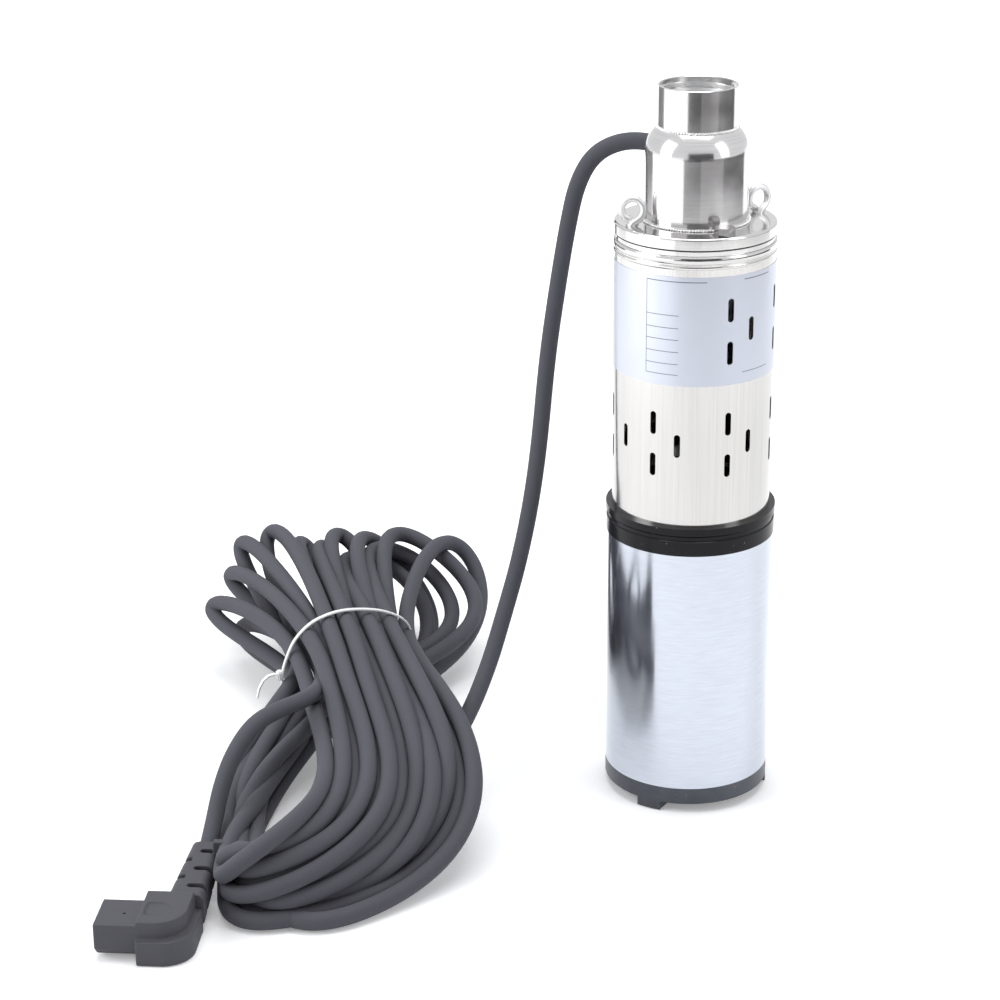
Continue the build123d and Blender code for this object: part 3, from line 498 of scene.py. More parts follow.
def finish_piece(name, mesh, material, replaced=(), smooth_angle=40.0):
    """Turns a bmesh into a piece that rides on the housing."""
    bmesh.ops.recalc_face_normals(mesh, faces=mesh.faces)
    data = bpy.data.meshes.new(name)
    mesh.to_mesh(data)
    mesh.free()
    return place_piece(name, data, material, replaced, smooth_angle)


def place_piece(name, data, material, replaced=(), smooth_angle=40.0):
    """Makes the object of a finished mesh, smooths it and gives it to the housing."""
    piece = bpy.data.objects.new(name, data)
    bpy.context.scene.collection.objects.link(piece)
    data.materials.clear()
    data.materials.append(material)
    data.shade_smooth()
    data.set_sharp_from_angle(angle=math.radians(smooth_angle))
    if replaced:
        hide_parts(*replaced)
    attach(piece, HOUSING)
    return piece


# ---- Cord ----

LEAD_ROUTE = [
    (0.01394, 0.02622, 0.2655),
    (0.01394, 0.02622, 0.2810),
    (0.0086, 0.0290, 0.2923),
    (-0.0026, 0.0353, 0.2993),
    (-0.0159, 0.0435, 0.3004),
    (-0.0276, 0.0510, 0.2936),
    (-0.0342, 0.0552, 0.2795),
    (-0.0374, 0.0577, 0.2610),
    (-0.0410, 0.0605, 0.2340),
    (-0.0460, 0.0625, 0.1960),
    (-0.0510, 0.0595, 0.1560),
    (-0.0570, 0.0554, 0.1270),
    (-0.0650, 0.0514, 0.0990),
    (-0.0750, 0.0451, 0.0765),
    (-0.0860, 0.0360, 0.0560),
    (-0.0990, 0.0255, 0.0380),
    (-0.1171, 0.0083, 0.0290),
]
TAIL_ROUTE = [
    (-0.1890, 0.0300, 0.0550),
    (-0.2040, 0.0235, 0.0520),
    (-0.2160, 0.0155, 0.0425),
    (-0.2242, 0.0078, 0.0305),
    (-0.2303, -0.0012, 0.0180),
    (-0.2367, -0.0130, 0.0110),
]

# Tips of the far loops, from the right to the left
FAR_TIPS = [
    (21.9, 133.8, 60), (-9, 143, 64), (-19, 144, 52), (-24.8, 145.6, 62), (-31, 150, 46),
    (-39, 152, 57), (-46, 154, 48), (-56.9, 157.1, 52), (-73.1, 146.8, 62), (-91, 141, 57),
    (-95, 128, 43), (-99, 97, 37), (-84, 99, 22),
]

# The right side of the widest far loops, from the tip down to the waist
FAR_SIDES = [
    ((34, 137, 52), (43, 128, 42), (47, 109, 31), (46, 89, 20), (38, 74, 13)),
    ((14, 138, 58), (36, 113, 49), (47, 97, 41), (50, 83, 34), (42, 74, 28)),
    ((10, 140, 50), (26, 118, 40), (33, 104, 32), (33, 88, 26), (26, 72, 22)),
    ((0, 142, 36), (16, 124, 30), (24, 106, 24), (22, 88, 18), (16, 68, 14)),
    ((-8, 142, 54), (12, 120, 42), (22, 100, 32), (22, 82, 22), (16, 62, 16)),
]

# The outermost and the innermost near loop; the turns between them fan out evenly
NEAR_OUTER = [
    (35.3, -40.7, 60), (48.2, -64.2, 55), (57.6, -88.7, 47), (60.7, -104.4, 36), (57.3, -118.9, 25),
    (48.0, -129.5, 14), (31.7, -143.9, 8), (13.0, -159.0, 6), (-7.0, -171.4, 5), (-24.0, -176.0, 5),
    (-37.5, -168.0, 6), (-43.5, -149.0, 8), (-52.0, -121.5, 9), (-60.5, -87.0, 11), (-59.6, -52.2, 14),
    (-53.3, -14.9, 17),
]
NEAR_INNER = [
    (-31.0, -30.4, 42), (-18.0, -63.2, 45), (-9.1, -95.8, 46), (-6.5, -120.3, 45), (-9.1, -139.4, 43),
    (-14.9, -153.5, 41), (-22.2, -162.9, 38), (-29.1, -168.5, 36), (-35.3, -171.5, 34), (-39.9, -169.0, 32),
    (-44.0, -159.0, 30), (-47.5, -142.3, 28), (-49.5, -121.7, 26), (-49.3, -99.4, 24), (-46.3, -69.2, 22),
    (-43.1, -29.1, 20),
]


def over_waist(turn):
    """Where a turn passes over the waist, under the top of the tie."""
    aside = -29 + 58 * (1 - turn / (TURN_COUNT - 1))
    height = 34 + 29 * math.sqrt(max(0, 1 - (aside / 34) ** 2)) - 5 * (turn % 2) - max(0, aside) * 0.12
    return TIE_CENTRE + TIE_ALONG * aside + np.array((0, 0, height))


def under_waist(turn):
    """Where a turn passes along the floor, through the bottom of the tie."""
    aside = -22 + 44 * (((turn * 5) % TURN_COUNT) / (TURN_COUNT - 1))
    return TIE_CENTRE + TIE_ALONG * aside + np.array((0, 0, 12 + 9 * ((turn * 4) % 3)))


def wide_far_loop(turn, start, tip, finish):
    """The points of a wide loop at the far end, up its right side and back from the tip."""
    side = [np.array(point, float) for point in FAR_SIDES[turn]]
    path = [(start + side[-1]) / 2 + np.array((4, -2, -2))]
    path += side[::-1]
    path.append(tip + np.array((6, 3, 0) if turn == 0 else (8, 4, -2)))
    path.append(tip + np.array((-5, -2, 0)))
    for share, lift in ((0.3, 6), (0.55, 6), (0.8, 2)):
        path.append(tip + (finish - tip) * share + np.array((-2, 0, lift)))
    return path


def narrow_far_loop(turn, start, tip, finish):
    """The points of a narrow loop at the far end, out to the tip and back beside itself."""
    ahead = (tip - start) * np.array((1, 1, 0))
    ahead /= np.linalg.norm(ahead)
    aside = np.array((ahead[1], -ahead[0], 0))
    half = -6.8 if turn > 7 else 8
    open_by = 5 if turn > 7 else 6
    path = []
    for share, width, climb in ((0.2, 0.4, 0.0), (0.42, 0.9, 0.25), (0.64, 1.0, 0.55), (0.84, 1.0, 0.85)):
        point = start + (tip - start) * share + aside * half * width
        point[2] = start[2] + (tip[2] - open_by - start[2]) * climb
        path.append(point)
    path.append(tip + aside * half * 0.75 - ahead * 2 + np.array((0, 0, -open_by / 2)))
    path.append(tip - aside * half * 0.75 - ahead * 2 + np.array((0, 0, 2)))
    for share, lift in ((0.2, 3), (0.45, 6), (0.7, 6), (0.88, 2)):
        path.append(tip + (finish - tip) * share - aside * half * (1 - share) * 0.9 + np.array((0, 0, lift)))
    return path


def far_loop(turn):
    """One turn's far half, from the bottom of the waist to the top of it."""
    start, finish, tip = under_waist(turn), over_waist(turn), np.array(FAR_TIPS[turn], float)
    shape = wide_far_loop if turn < len(FAR_SIDES) else narrow_far_loop
    return [start, *shape(turn, start, tip, finish), finish, finish + TIE_ACROSS * 18 - np.array((0, 0, 1))]


def near_loop(turn):
    """One turn's near half, from the top of the waist round the near end and back."""
    outer, inner = np.array(NEAR_OUTER, float), np.array(NEAR_INNER, float)
    return inner + (outer - inner) * (1 - turn / (TURN_COUNT - 1))


def loose_route():
    """All control points of the cord in the hank's frame, and which of them may move."""
    random_place = np.random.RandomState(7)
    lead, tail = to_hank(LEAD_ROUTE), to_hank(TAIL_ROUTE)
    points = list(lead)
    points += [np.array(point, float) for point in ((30, -88, 22), (12, -108, 16))]
    points += list(near_loop(6)[6:])
    for turn in range(TURN_COUNT - 1):
        points += far_loop(turn)
        points += [point + random_place.uniform(-2.5, 2.5, 3) for point in near_loop(turn)]
    points += far_loop(TURN_COUNT - 1)[:-3]
    points += [np.array(point, float) for point in (
        (-36, 28, 42), (-25, 9, 46), (-17, -12, 44), (-17, -36, 44), (-23, -58, 50)
    )]
    points += list(tail)
    free = np.ones(len(points), bool)
    free[: len(lead) - 2] = False
    free[1 - len(tail):] = False
    return np.array(points), free


def spline_samples(count, per_span):
    """The weights that turn control points into points on their smooth curve, and where each lies."""
    places = np.arange((count - 2) * per_span + 1) / per_span
    weights = np.zeros((len(places), count))
    for row, place in enumerate(places):
        span = min(int(place), count - 3)
        share = place - span
        weights[row, span] = 0.5 * (1 - share) ** 2
        weights[row, span + 1] = 0.5 + share * (1 - share)
        weights[row, span + 2] = 0.5 * share**2
    return weights, places


def settled_route(diameter, steps=130):
    """The cord's control points after its turns have pushed each other apart and settled on the floor."""
    points, free = loose_route()
    weights, places = spline_samples(len(points), 3)
    weights = weights.astype(np.float32)
    spread_back = weights.T / (weights.sum(0)[:, None] + 1e-9)
    home = points.copy()
    movable = free[:, None].astype(float)
    apart = np.triu(np.abs(places[:, None] - places[None, :]) > 2.2, 1)
    radius = diameter / 2
    for _ in range(steps):
        samples = (weights @ points).astype(np.float32)
        squares = (samples**2).sum(1)
        distance = squares[:, None] + squares[None, :] - 2 * (samples @ samples.T)
        first, second = np.where((distance < diameter**2) & apart)
        push = np.zeros_like(samples)
        count = np.zeros(len(samples))
        if len(first):
            offset = samples[first] - samples[second]
            gap = np.sqrt((offset**2).sum(1)) + 1e-6
            move = offset / gap[:, None] * ((diameter - gap) / 2)[:, None]
            np.add.at(push, first, move)
            np.add.at(push, second, -move)
            np.add.at(count, first, 1)
            np.add.at(count, second, 1)
        push /= np.sqrt(np.maximum(count, 1))[:, None]
        beside_tie = samples - TIE_CENTRE
        ahead, aside = beside_tie @ TIE_ACROSS, beside_tie @ TIE_ALONG
        floor = np.where(np.abs(ahead) < 12, radius + 1.8, radius + 0.3)
        push[:, 2] += np.maximum(floor - samples[:, 2], 0)
        turns = places < places[-1] - len(TAIL_ROUTE)
        beside_plug = turns & (samples[:, 1] > -192) & (samples[:, 1] < -130) & (samples[:, 2] < 30)
        push[beside_plug, 0] += np.maximum(-43.5 - samples[beside_plug, 0], 0)
        under_tail = turns & (samples[:, 1] > -138) & (samples[:, 1] < -80) & (samples[:, 0] < -44)
        roof = np.interp(samples[under_tail, 1], (-135, -122, -111, -101, -89), (4, 9, 22, 36, 47))
        push[under_tail, 2] += np.minimum(roof - samples[under_tail, 2], 0)
        upward = samples[:, 2] - TIE_MIDDLE_HEIGHT
        out = np.sqrt((aside / 31) ** 2 + (upward / 32) ** 2)
        held = (np.abs(ahead) < 7) & (out > 1) & (np.abs(aside) < 70)
        pull = (1 / out[held] - 1)[:, None]
        push[held] += 0.6 * (
            TIE_ALONG * aside[held][:, None] * pull + np.array((0, 0, 1.0)) * upward[held][:, None] * pull
        )
        bend = np.zeros_like(points)
        bend[1:-1] = (points[:-2] + points[2:]) / 2 - points[1:-1]
        stiff = np.zeros_like(points)
        stiff[1:-1] = (bend[:-2] + bend[2:]) / 2 - bend[1:-1]
        moved = spread_back @ push * 1.5 - stiff * 0.22 + (home - points) * 0.03 + np.array((0, 0, -0.15))
        points = points + movable * moved
        points[free, 2] = np.maximum(points[free, 2], radius + 0.1)
    return points


class PUMP_OT_supply_cord(bpy.types.Operator):
    """Build the supply cord as one smooth curve, from the grommet through the tied hank to the plug"""

    bl_idname = "pump.supply_cord"
    bl_label = "Supply Cord"

    def execute(self, context):
        settings = context.scene.pump_cord
        points = to_model(settled_route(settings.diameter / MM))
        curve = bpy.data.curves.new("supply_cord", "CURVE")
        curve.dimensions = "3D"
        spline = curve.splines.new("NURBS")
        spline.points.add(len(points) - 1)
        for target, point in zip(spline.points, points):
            target.co = (*point, 1)
        spline.order_u = 3
        spline.use_endpoint_u = True
        curve.resolution_u = 6
        curve.bevel_depth = settings.diameter / 2
        curve.bevel_resolution = 5
        curve.use_fill_caps = True
        curve.materials.append(finish_named("cable_jacket"))
        cord = bpy.data.objects.new("supply_cord", curve)
        context.scene.collection.objects.link(cord)
        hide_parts("cable_lead", "cable_hank", "cable_tail")
        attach(cord, HOUSING)
        return {"FINISHED"}


def centre_line(name):
    """Points along a curve's own line, in the model's frame."""
    source = bpy.data.objects[name]
    bare = source.data.copy()
    bare.bevel_depth = 0
    holder = bpy.data.objects.new("bare_line", bare)
    bpy.context.scene.collection.objects.link(holder)
    bpy.context.view_layer.update()
    line = bpy.data.meshes.new_from_object(holder)
    points = np.array([vertex.co[:] for vertex in line.vertices])
    bpy.data.objects.remove(holder)
    bpy.data.curves.remove(bare)
    bpy.data.meshes.remove(line)
    return points


def round_outline(points):
    """The convex outline round points in a plane, counter-clockwise."""
    ordered = sorted(set(points))
    halves = []
    for source in (ordered, ordered[::-1]):
        half = []
        for point in source:
            while len(half) > 1 and (
                (half[-1][0] - half[-2][0]) * (point[1] - half[-2][1])
                - (half[-1][1] - half[-2][1]) * (point[0] - half[-2][0])
            ) <= 0:
                half.pop()
            half.append(point)
        halves += half[:-1]
    return halves


def smooth_outline(outline, steps=96, reach=5):
    """A round band just outside a convex outline, with its corners eased."""
    centre = np.mean(outline, 0)
    corners = np.array(outline) - centre
    radii = []
    for step in range(steps):
        angle = 2 * math.pi * step / steps
        ray = np.array((math.cos(angle), math.sin(angle)))
        best = 0.0
        for first, second in zip(corners, np.roll(corners, -1, axis=0)):
            side = second - first
            across = ray[0] * side[1] - ray[1] * side[0]
            if abs(across) < 1e-9:
                continue
            distance = (first[0] * side[1] - first[1] * side[0]) / across
            along = (first[0] * ray[1] - first[1] * ray[0]) / across
            if distance > 0 and -1e-6 <= along <= 1 + 1e-6:
                best = max(best, distance)
        radii.append(best)
    radii = np.array(radii)
    eased = sum(np.roll(radii, shift) for shift in range(-reach, reach + 1)) / (2 * reach + 1)
    eased += min(1.2, float((radii - eased).max()))
    return [
        (centre[0] + eased[step] * math.cos(2 * math.pi * step / steps),
         centre[1] + eased[step] * math.sin(2 * math.pi * step / steps))
        for step in range(steps)
    ]


class PUMP_OT_tie(bpy.types.Operator):
    """Build the thin tie that runs tight round the waist of the hank, with its lock and its curled end"""

    bl_idname = "pump.tie"
    bl_label = "Tie"

    def execute(self, context):
        settings = context.scene.pump_cord
        line = to_hank(centre_line("supply_cord"))
        ahead = (line - TIE_CENTRE) @ TIE_ACROSS
        aside = (line - TIE_CENTRE) @ TIE_ALONG
        radius = settings.diameter / 2 / MM + 0.25
        rims = []
        for index in np.where(ahead[:-1] * ahead[1:] < 0)[0]:
            share = ahead[index] / (ahead[index] - ahead[index + 1])
            place = aside[index] + (aside[index + 1] - aside[index]) * share
            height = line[index, 2] + (line[index + 1, 2] - line[index, 2]) * share
            if abs(place) < 48 and height < 85:
                for step in range(24):
                    angle = 2 * math.pi * step / 24
                    rims.append((place + radius * math.cos(angle), height + radius * math.sin(angle)))
        if not rims:
            raise RuntimeError("no turn passes through the tie")
        dense = smooth_outline(round_outline(rims))
        ring = [TIE_CENTRE + TIE_ALONG * place + np.array((0, 0, height)) for place, height in dense]
        ring = [Vector(point) for point in to_model(ring)]
        cosine, sine = math.cos(HANK_TURN), math.sin(HANK_TURN)
        axis = Vector((
            cosine * TIE_ACROSS[0] - sine * TIE_ACROSS[1], sine * TIE_ACROSS[0] + cosine * TIE_ACROSS[1], 0
        ))
        half, thick = settings.tie_width / 2, 0.0005
        corner = thick / 2
        band = [
            (-half, -thick + corner), (-half + corner, -thick), (half - corner, -thick), (half, -thick + corner),
            (half, thick - corner), (half - corner, thick), (-half + corner, thick), (-half, thick - corner),
        ]
        mesh = bmesh.new()
        add_sweep(mesh, ring, band, closed=True, fixed=axis)
        lock_place = min(ring, key=lambda point: (point - Vector(to_model([TIE_CENTRE - TIE_ALONG * 60 + np.array((0, 0, 40))])[0])).length)
        outward = (lock_place - Vector(to_model([TIE_CENTRE + np.array((0, 0, lock_place.z / MM))])[0])).normalized()
        upward = Vector((0, 0, 1))
        block = bmesh.ops.create_cube(mesh, size=1.0)["verts"]
        turn = Matrix((outward, axis, upward)).transposed().to_4x4()
        place = Matrix.Translation(lock_place + outward * 0.0013) @ turn @ Matrix.Diagonal((0.0030, 0.0042, 0.0046, 1))
        bmesh.ops.transform(mesh, matrix=place, verts=block)
        edges = list({edge for vertex in block for edge in vertex.link_edges})
        bmesh.ops.bevel(mesh, geom=edges, offset=0.0006, segments=2, affect="EDGES")
        end = [
            lock_place + outward * 0.0016,
            lock_place + outward * 0.0040 + upward * 0.0009,
            lock_place + outward * 0.0070 + upward * 0.0006,
            lock_place + outward * 0.0098 - upward * 0.0014,
            lock_place + outward * 0.0120 - upward * 0.0052,
            lock_place + outward * 0.0132 - upward * 0.0100,
        ]
        add_sweep(mesh, end, band, fixed=axis, sizes=[1, 1, 1, 0.98, 0.92, 0.75])
        finish_piece("tie", mesh, finish_named("tie_plastic"), ("cable_tie",))
        return {"FINISHED"}


# ---- Plug ----


def plug_points(points):
    """Points beside, along and above the plug's root, in millimetres, as points of the model."""
    return to_model(np.asarray(points, float) + np.array((-56.0, -183.0, 0)))


def block_mesh(low, high):
    """A block in the plug's frame, from its lowest to its highest corner."""
    mesh = bmesh.new()
    bmesh.ops.create_cube(mesh, size=1.0)
    middle = [(first + last) / 2 for first, last in zip(low, high)]
    size = [last - first for first, last in zip(low, high)]
    corners = [
        [middle[axis] + vertex.co[axis] * size[axis] for axis in range(3)] for vertex in mesh.verts
    ]
    for vertex, place in zip(mesh.verts, plug_points(corners)):
        vertex.co = place
    bmesh.ops.recalc_face_normals(mesh, faces=mesh.faces)
    return mesh


def post_mesh(side, along, radius, bottom, top, sides=20):
    """An upright round post in the plug's frame."""
    mesh = bmesh.new()
    levels = []
    for height in (bottom, top):
        ring = [(side + u, along + v, height) for u, v in ring_profile(radius, sides)]
        levels.append([mesh.verts.new(place) for place in plug_points(ring)])
    for step in range(sides):
        after = (step + 1) % sides
        mesh.faces.new((levels[0][step], levels[0][after], levels[1][after], levels[1][step]))
    mesh.faces.new(levels[0][::-1])
    mesh.faces.new(levels[1])
    bmesh.ops.recalc_face_normals(mesh, faces=mesh.faces)
    return mesh


def carved(name, source, cutters, grain, rounds, material, replaced):
    """A solid with pockets cut out of it and its edges rounded over."""
    holders = []
    for index, shape in enumerate([source, *cutters]):
        data = bpy.data.meshes.new(f"{name}_{index}")
        shape.to_mesh(data)
        shape.free()
        holder = bpy.data.objects.new(data.name, data)
        bpy.context.scene.collection.objects.link(holder)
        holders.append(holder)
    body = holders[0]
    for cutter in holders[1:]:
        cut = body.modifiers.new("Pocket", "BOOLEAN")
        cut.operation = "DIFFERENCE"
        cut.solver = "EXACT"
        cut.object = cutter
    grid = body.modifiers.new("Grid", "REMESH")
    grid.mode = "VOXEL"
    grid.voxel_size = grain
    ease = body.modifiers.new("Ease", "SMOOTH")
    ease.factor = 0.5
    ease.iterations = rounds
    depsgraph = bpy.context.evaluated_depsgraph_get()
    depsgraph.update()
    data = bpy.data.meshes.new_from_object(body.evaluated_get(depsgraph))
    data.name = name
    for holder in holders:
        bpy.data.objects.remove(holder)
    if len(data.polygons) < 100:
        raise RuntimeError(name + " came out empty")
    return place_piece(name, data, material, replaced, 180.0)


def relief_mesh():
    """The strain relief's outer form: a rounded box that tapers towards the cord."""
    mesh = bmesh.new()
    rings = []
    for share in (0.0, 0.25, 0.5, 0.75, 1.0):
        width, tall = 16.0 - 3.6 * share, 15.0 - 3.4 * share
        corner, middle = 3.2, 10.0 + share
        ring = []
        for quarter, (u, v) in enumerate(((1, 1), (-1, 1), (-1, -1), (1, -1))):
            for step in range(6):
                angle = math.pi / 2 * (quarter + step / 5)
                ring.append((
                    u * (width / 2 - corner) + corner * math.cos(angle),
                    -0.3 + 48.3 * share,
                    middle + v * (tall / 2 - corner) + corner * math.sin(angle),
                ))
        rings.append([mesh.verts.new(place) for place in plug_points(ring)])
    count = len(rings[0])
    for first, second in zip(rings, rings[1:]):
        for step in range(count):
            after = (step + 1) % count
            mesh.faces.new((first[step], first[after], second[after], second[step]))
    mesh.faces.new(rings[0][::-1])
    mesh.faces.new(rings[-1])
    bmesh.ops.recalc_face_normals(mesh, faces=mesh.faces)
    return mesh


class PUMP_OT_plug(bpy.types.Operator):
    """Mould the angled plug with softened edges, its panel and moulding mark, and the notched strain relief"""

    bl_idname = "pump.plug"
    bl_label = "Plug"

    def execute(self, context):
        rubber = finish_named("plug_plastic")
        body = bmesh.new()
        body.from_mesh(frame["nodes"]["plug_body"].data)
        bmesh.ops.remove_doubles(body, verts=body.verts, dist=1e-6)
        pockets = [
            block_mesh((-13.6, -20.3, 18.1), (-6.4, -9.7, 22.0)),
            post_mesh(-8.4, -15.0, 5.3, 18.1, 22.0),
            post_mesh(-22.5, -16.5, 0.75, 15.4, 22.0),
        ]
        carved("plug_shell", body, pockets, 0.0004, 5, rubber, ("plug_body",))
        pockets = []
        for along in (8.5, 24.0, 39.5):
            pockets.append(post_mesh(0.8, along, 1.7, 12.4, 22.0))
            pockets.append(block_mesh((0.8, along - 1.7, 12.4), (12.0, along + 1.7, 22.0)))
            pockets.append(block_mesh((5.0, along - 1.7, 4.5), (12.0, along + 1.7, 22.0)))
        for along in (16.2, 31.7):
            pockets.append(block_mesh((-12.0, along - 1.7, 12.4), (-3.0, along + 1.7, 22.0)))
            pockets.append(block_mesh((-12.0, along - 1.7, 4.5), (-5.0, along + 1.7, 22.0)))
        carved("relief_sleeve", relief_mesh(), pockets, 0.0004, 3, rubber, ("plug_relief",))
        return {"FINISHED"}


# ---- Metal details ----


class PUMP_OT_lifting_eyes(bpy.types.Operator):
    """Bend the two lifting eyes from wire, each on its bolt, with the ends crossing at the foot"""

    bl_idname = "pump.lifting_eyes"
    bl_label = "Lifting Eyes"

    def execute(self, context):
        wire = context.scene.pump_metal.eye_wire / 2
        flange_top = part_box("head_flange")[1].z
        for name, facing, lean, widen in (("eye_bolt_right", 285.5, 9.0, 0.94), ("eye_bolt_left", 250.0, -4.0, 1.0)):
            low, high = part_box(name)
            middle = (low + high) / 2
            loop_radius = (high.x - low.x) / 2 - wire
            centre = Vector((middle.x, middle.y, high.z - wire - loop_radius))
            out = Vector((math.cos(math.radians(facing)), math.sin(math.radians(facing)), 0))
            across = Vector((-out.y, out.x, 0))
            up = Vector((0, 0, 1))
            tilt = math.radians(lean)
            across, up = across * math.cos(tilt) - up * math.sin(tilt), up * math.cos(tilt) + across * math.sin(tilt)
            foot = Vector((middle.x, middle.y, flange_top))
            path = [foot - across * wire * 0.55 - up * 0.001 + out * wire * 0.98]
            path.append(foot - across * wire * 0.2 + up * 0.0009 + out * wire * 0.98)
            steps = 22
            for step in range(steps + 1):
                share = step / steps
                angle = math.radians(-58 + 296 * share)
                depth = wire * (0.98 - 1.96 * share)
                path.append(
                    centre
                    + across * (loop_radius * widen * math.cos(angle))
                    + up * (loop_radius * math.sin(angle))
                    + out * depth
                )
            path.append(foot + across * wire * 0.2 + up * 0.0009 - out * wire * 0.98)
            path.append(foot + across * wire * 0.55 - up * 0.001 - out * wire * 0.98)
            mesh = bmesh.new()
            add_sweep(mesh, smoothed(path), ring_profile(wire, 16))
            collar = 0.0026
            add_lathe(
                mesh,
                [(0, flange_top - 0.004), (collar, flange_top - 0.004), (collar, flange_top + 0.0004),
                 (collar * 0.8, flange_top + 0.0009), (0, flange_top + 0.0009)],
                (middle.x, middle.y),
                24,
            )
            finish_piece(name.replace("bolt", "wire"), mesh, finish_named("fastener_steel"), (name,))
        return {"FINISHED"}


def smoothed(points, rounds=2):
    """A path with its corners cut twice, keeping both ends."""
    for _ in range(rounds):
        cut = [points[0]]
        for first, second in zip(points, points[1:]):
            cut += [first.lerp(second, 0.25), first.lerp(second, 0.75)]
        cut.append(points[-1])
        points = cut
    return points


def geometry_tree(name, sizes):
    """An empty geometry tree with an input for each named size."""
    tree = bpy.data.node_groups.new(name, "GeometryNodeTree")
    for label, kind, value in sizes:
        socket = tree.interface.new_socket(label, in_out="INPUT", socket_type=kind)
        socket.default_value = value
    tree.interface.new_socket("Geometry", in_out="OUTPUT", socket_type="NodeSocketGeometry")
    source = tree.nodes.new("NodeGroupInput").outputs
    return tree, source


def close_tree(tree, geometry, material, material_name):
    """Ends a geometry tree with real geometry in one material."""
    real = add(tree, "GeometryNodeRealizeInstances", {0: geometry}).outputs[0]
    painted = add(tree, "GeometryNodeSetMaterial", {"Geometry": real, "Material": material}).outputs[0]
    add(tree, "NodeGroupOutput", {0: painted})
    return material_name


def run_tree(name, tree, values, material, smooth_angle=50.0):
    """Runs a geometry tree once and keeps its result as a plain mesh piece."""
    holder = bpy.data.objects.new(name + "_source", bpy.data.meshes.new(name + "_source"))
    bpy.context.scene.collection.objects.link(holder)
    modifier = holder.modifiers.new("Pattern", "NODES")
    modifier.node_group = tree
    for item in tree.interface.items_tree:
        if item.item_type == "SOCKET" and item.in_out == "INPUT" and item.name in values:
            modifier[item.identifier] = values[item.name]
    depsgraph = bpy.context.evaluated_depsgraph_get()
    depsgraph.update()
    data = bpy.data.meshes.new_from_object(holder.evaluated_get(depsgraph))
    data.name = name
    holder.modifiers.remove(modifier)
    bpy.data.objects.remove(holder)
    if not data.polygons:
        raise RuntimeError(name + " came out empty")
    return place_piece(name, data, material, smooth_angle=smooth_angle)


def thread_tree(material):
    """A right-handed thread: a ridge of diamond section along a spiral."""
    tree, source = geometry_tree("outlet_thread", [
        ("Radius", "NodeSocketFloat", 0.0164),
        ("Pitch", "NodeSocketFloat", 0.0023),
        ("Turns", "NodeSocketFloat", 6.0),
        ("Ridge", "NodeSocketFloat", 0.0011),
        ("Start", "NodeSocketFloat", 0.3),
    ])
    height = maths(tree, "MULTIPLY", source["Pitch"], source["Turns"])
    spiral = add(tree, "GeometryNodeCurveSpiral", {
        "Resolution": 72, "Rotations": source["Turns"], "Start Radius": source["Radius"],
        "End Radius": source["Radius"], "Height": height, "Reverse": True,
    }).outputs[0]
    ridge = add(tree, "GeometryNodeCurvePrimitiveCircle", {"Resolution": 4, "Radius": source["Ridge"]}).outputs[0]
    solid = add(tree, "GeometryNodeCurveToMesh", {0: spiral, "Profile Curve": ridge, "Fill Caps": True}).outputs[0]
    lift = add(tree, "ShaderNodeCombineXYZ", {2: source["Start"]}).outputs[0]
    placed = add(tree, "GeometryNodeTransform", {"Geometry": solid, "Translation": lift}).outputs[0]
    close_tree(tree, placed, material, "fastener_steel")
    return tree


def weld_tree(material):
    """A weld: flattened drops that overlap round a circle, each a little different."""
    tree, source = geometry_tree("weld_bead", [
        ("Radius", "NodeSocketFloat", 0.0178),
        ("Height", "NodeSocketFloat", 0.3),
        ("Drops", "NodeSocketInt", 60),
        ("Drop Size", "NodeSocketFloat", 0.001),
        ("Seed", "NodeSocketInt", 3),
    ])
    circle = add(
        tree, "GeometryNodeCurvePrimitiveCircle", {"Resolution": 180, "Radius": source["Radius"]}
    ).outputs[0]
    points = add(tree, "GeometryNodeCurveToPoints", {0: circle, "Count": source["Drops"]}).outputs[0]
    drop = add(
        tree, "GeometryNodeMeshUVSphere", {"Segments": 12, "Rings": 8, "Radius": source["Drop Size"]}
    ).outputs[0]
    size = add(tree, "FunctionNodeRandomValue", {"Seed": source["Seed"]}, data_type="FLOAT")
    size.inputs[2].default_value = 0.8
    size.inputs[3].default_value = 1.25
    stretch = add(tree, "ShaderNodeCombineXYZ", {0: size.outputs[1], 1: size.outputs[1], 2: 0.75}).outputs[0]
    placed = add(
        tree, "GeometryNodeInstanceOnPoints", {"Points": points, "Instance": drop, "Scale": stretch}
    ).outputs[0]
    lift = add(tree, "ShaderNodeCombineXYZ", {2: source["Height"]}).outputs[0]
    raised = add(tree, "GeometryNodeTransform", {"Geometry": placed, "Translation": lift}).outputs[0]
    close_tree(tree, raised, material, "brushed_head")
    return tree


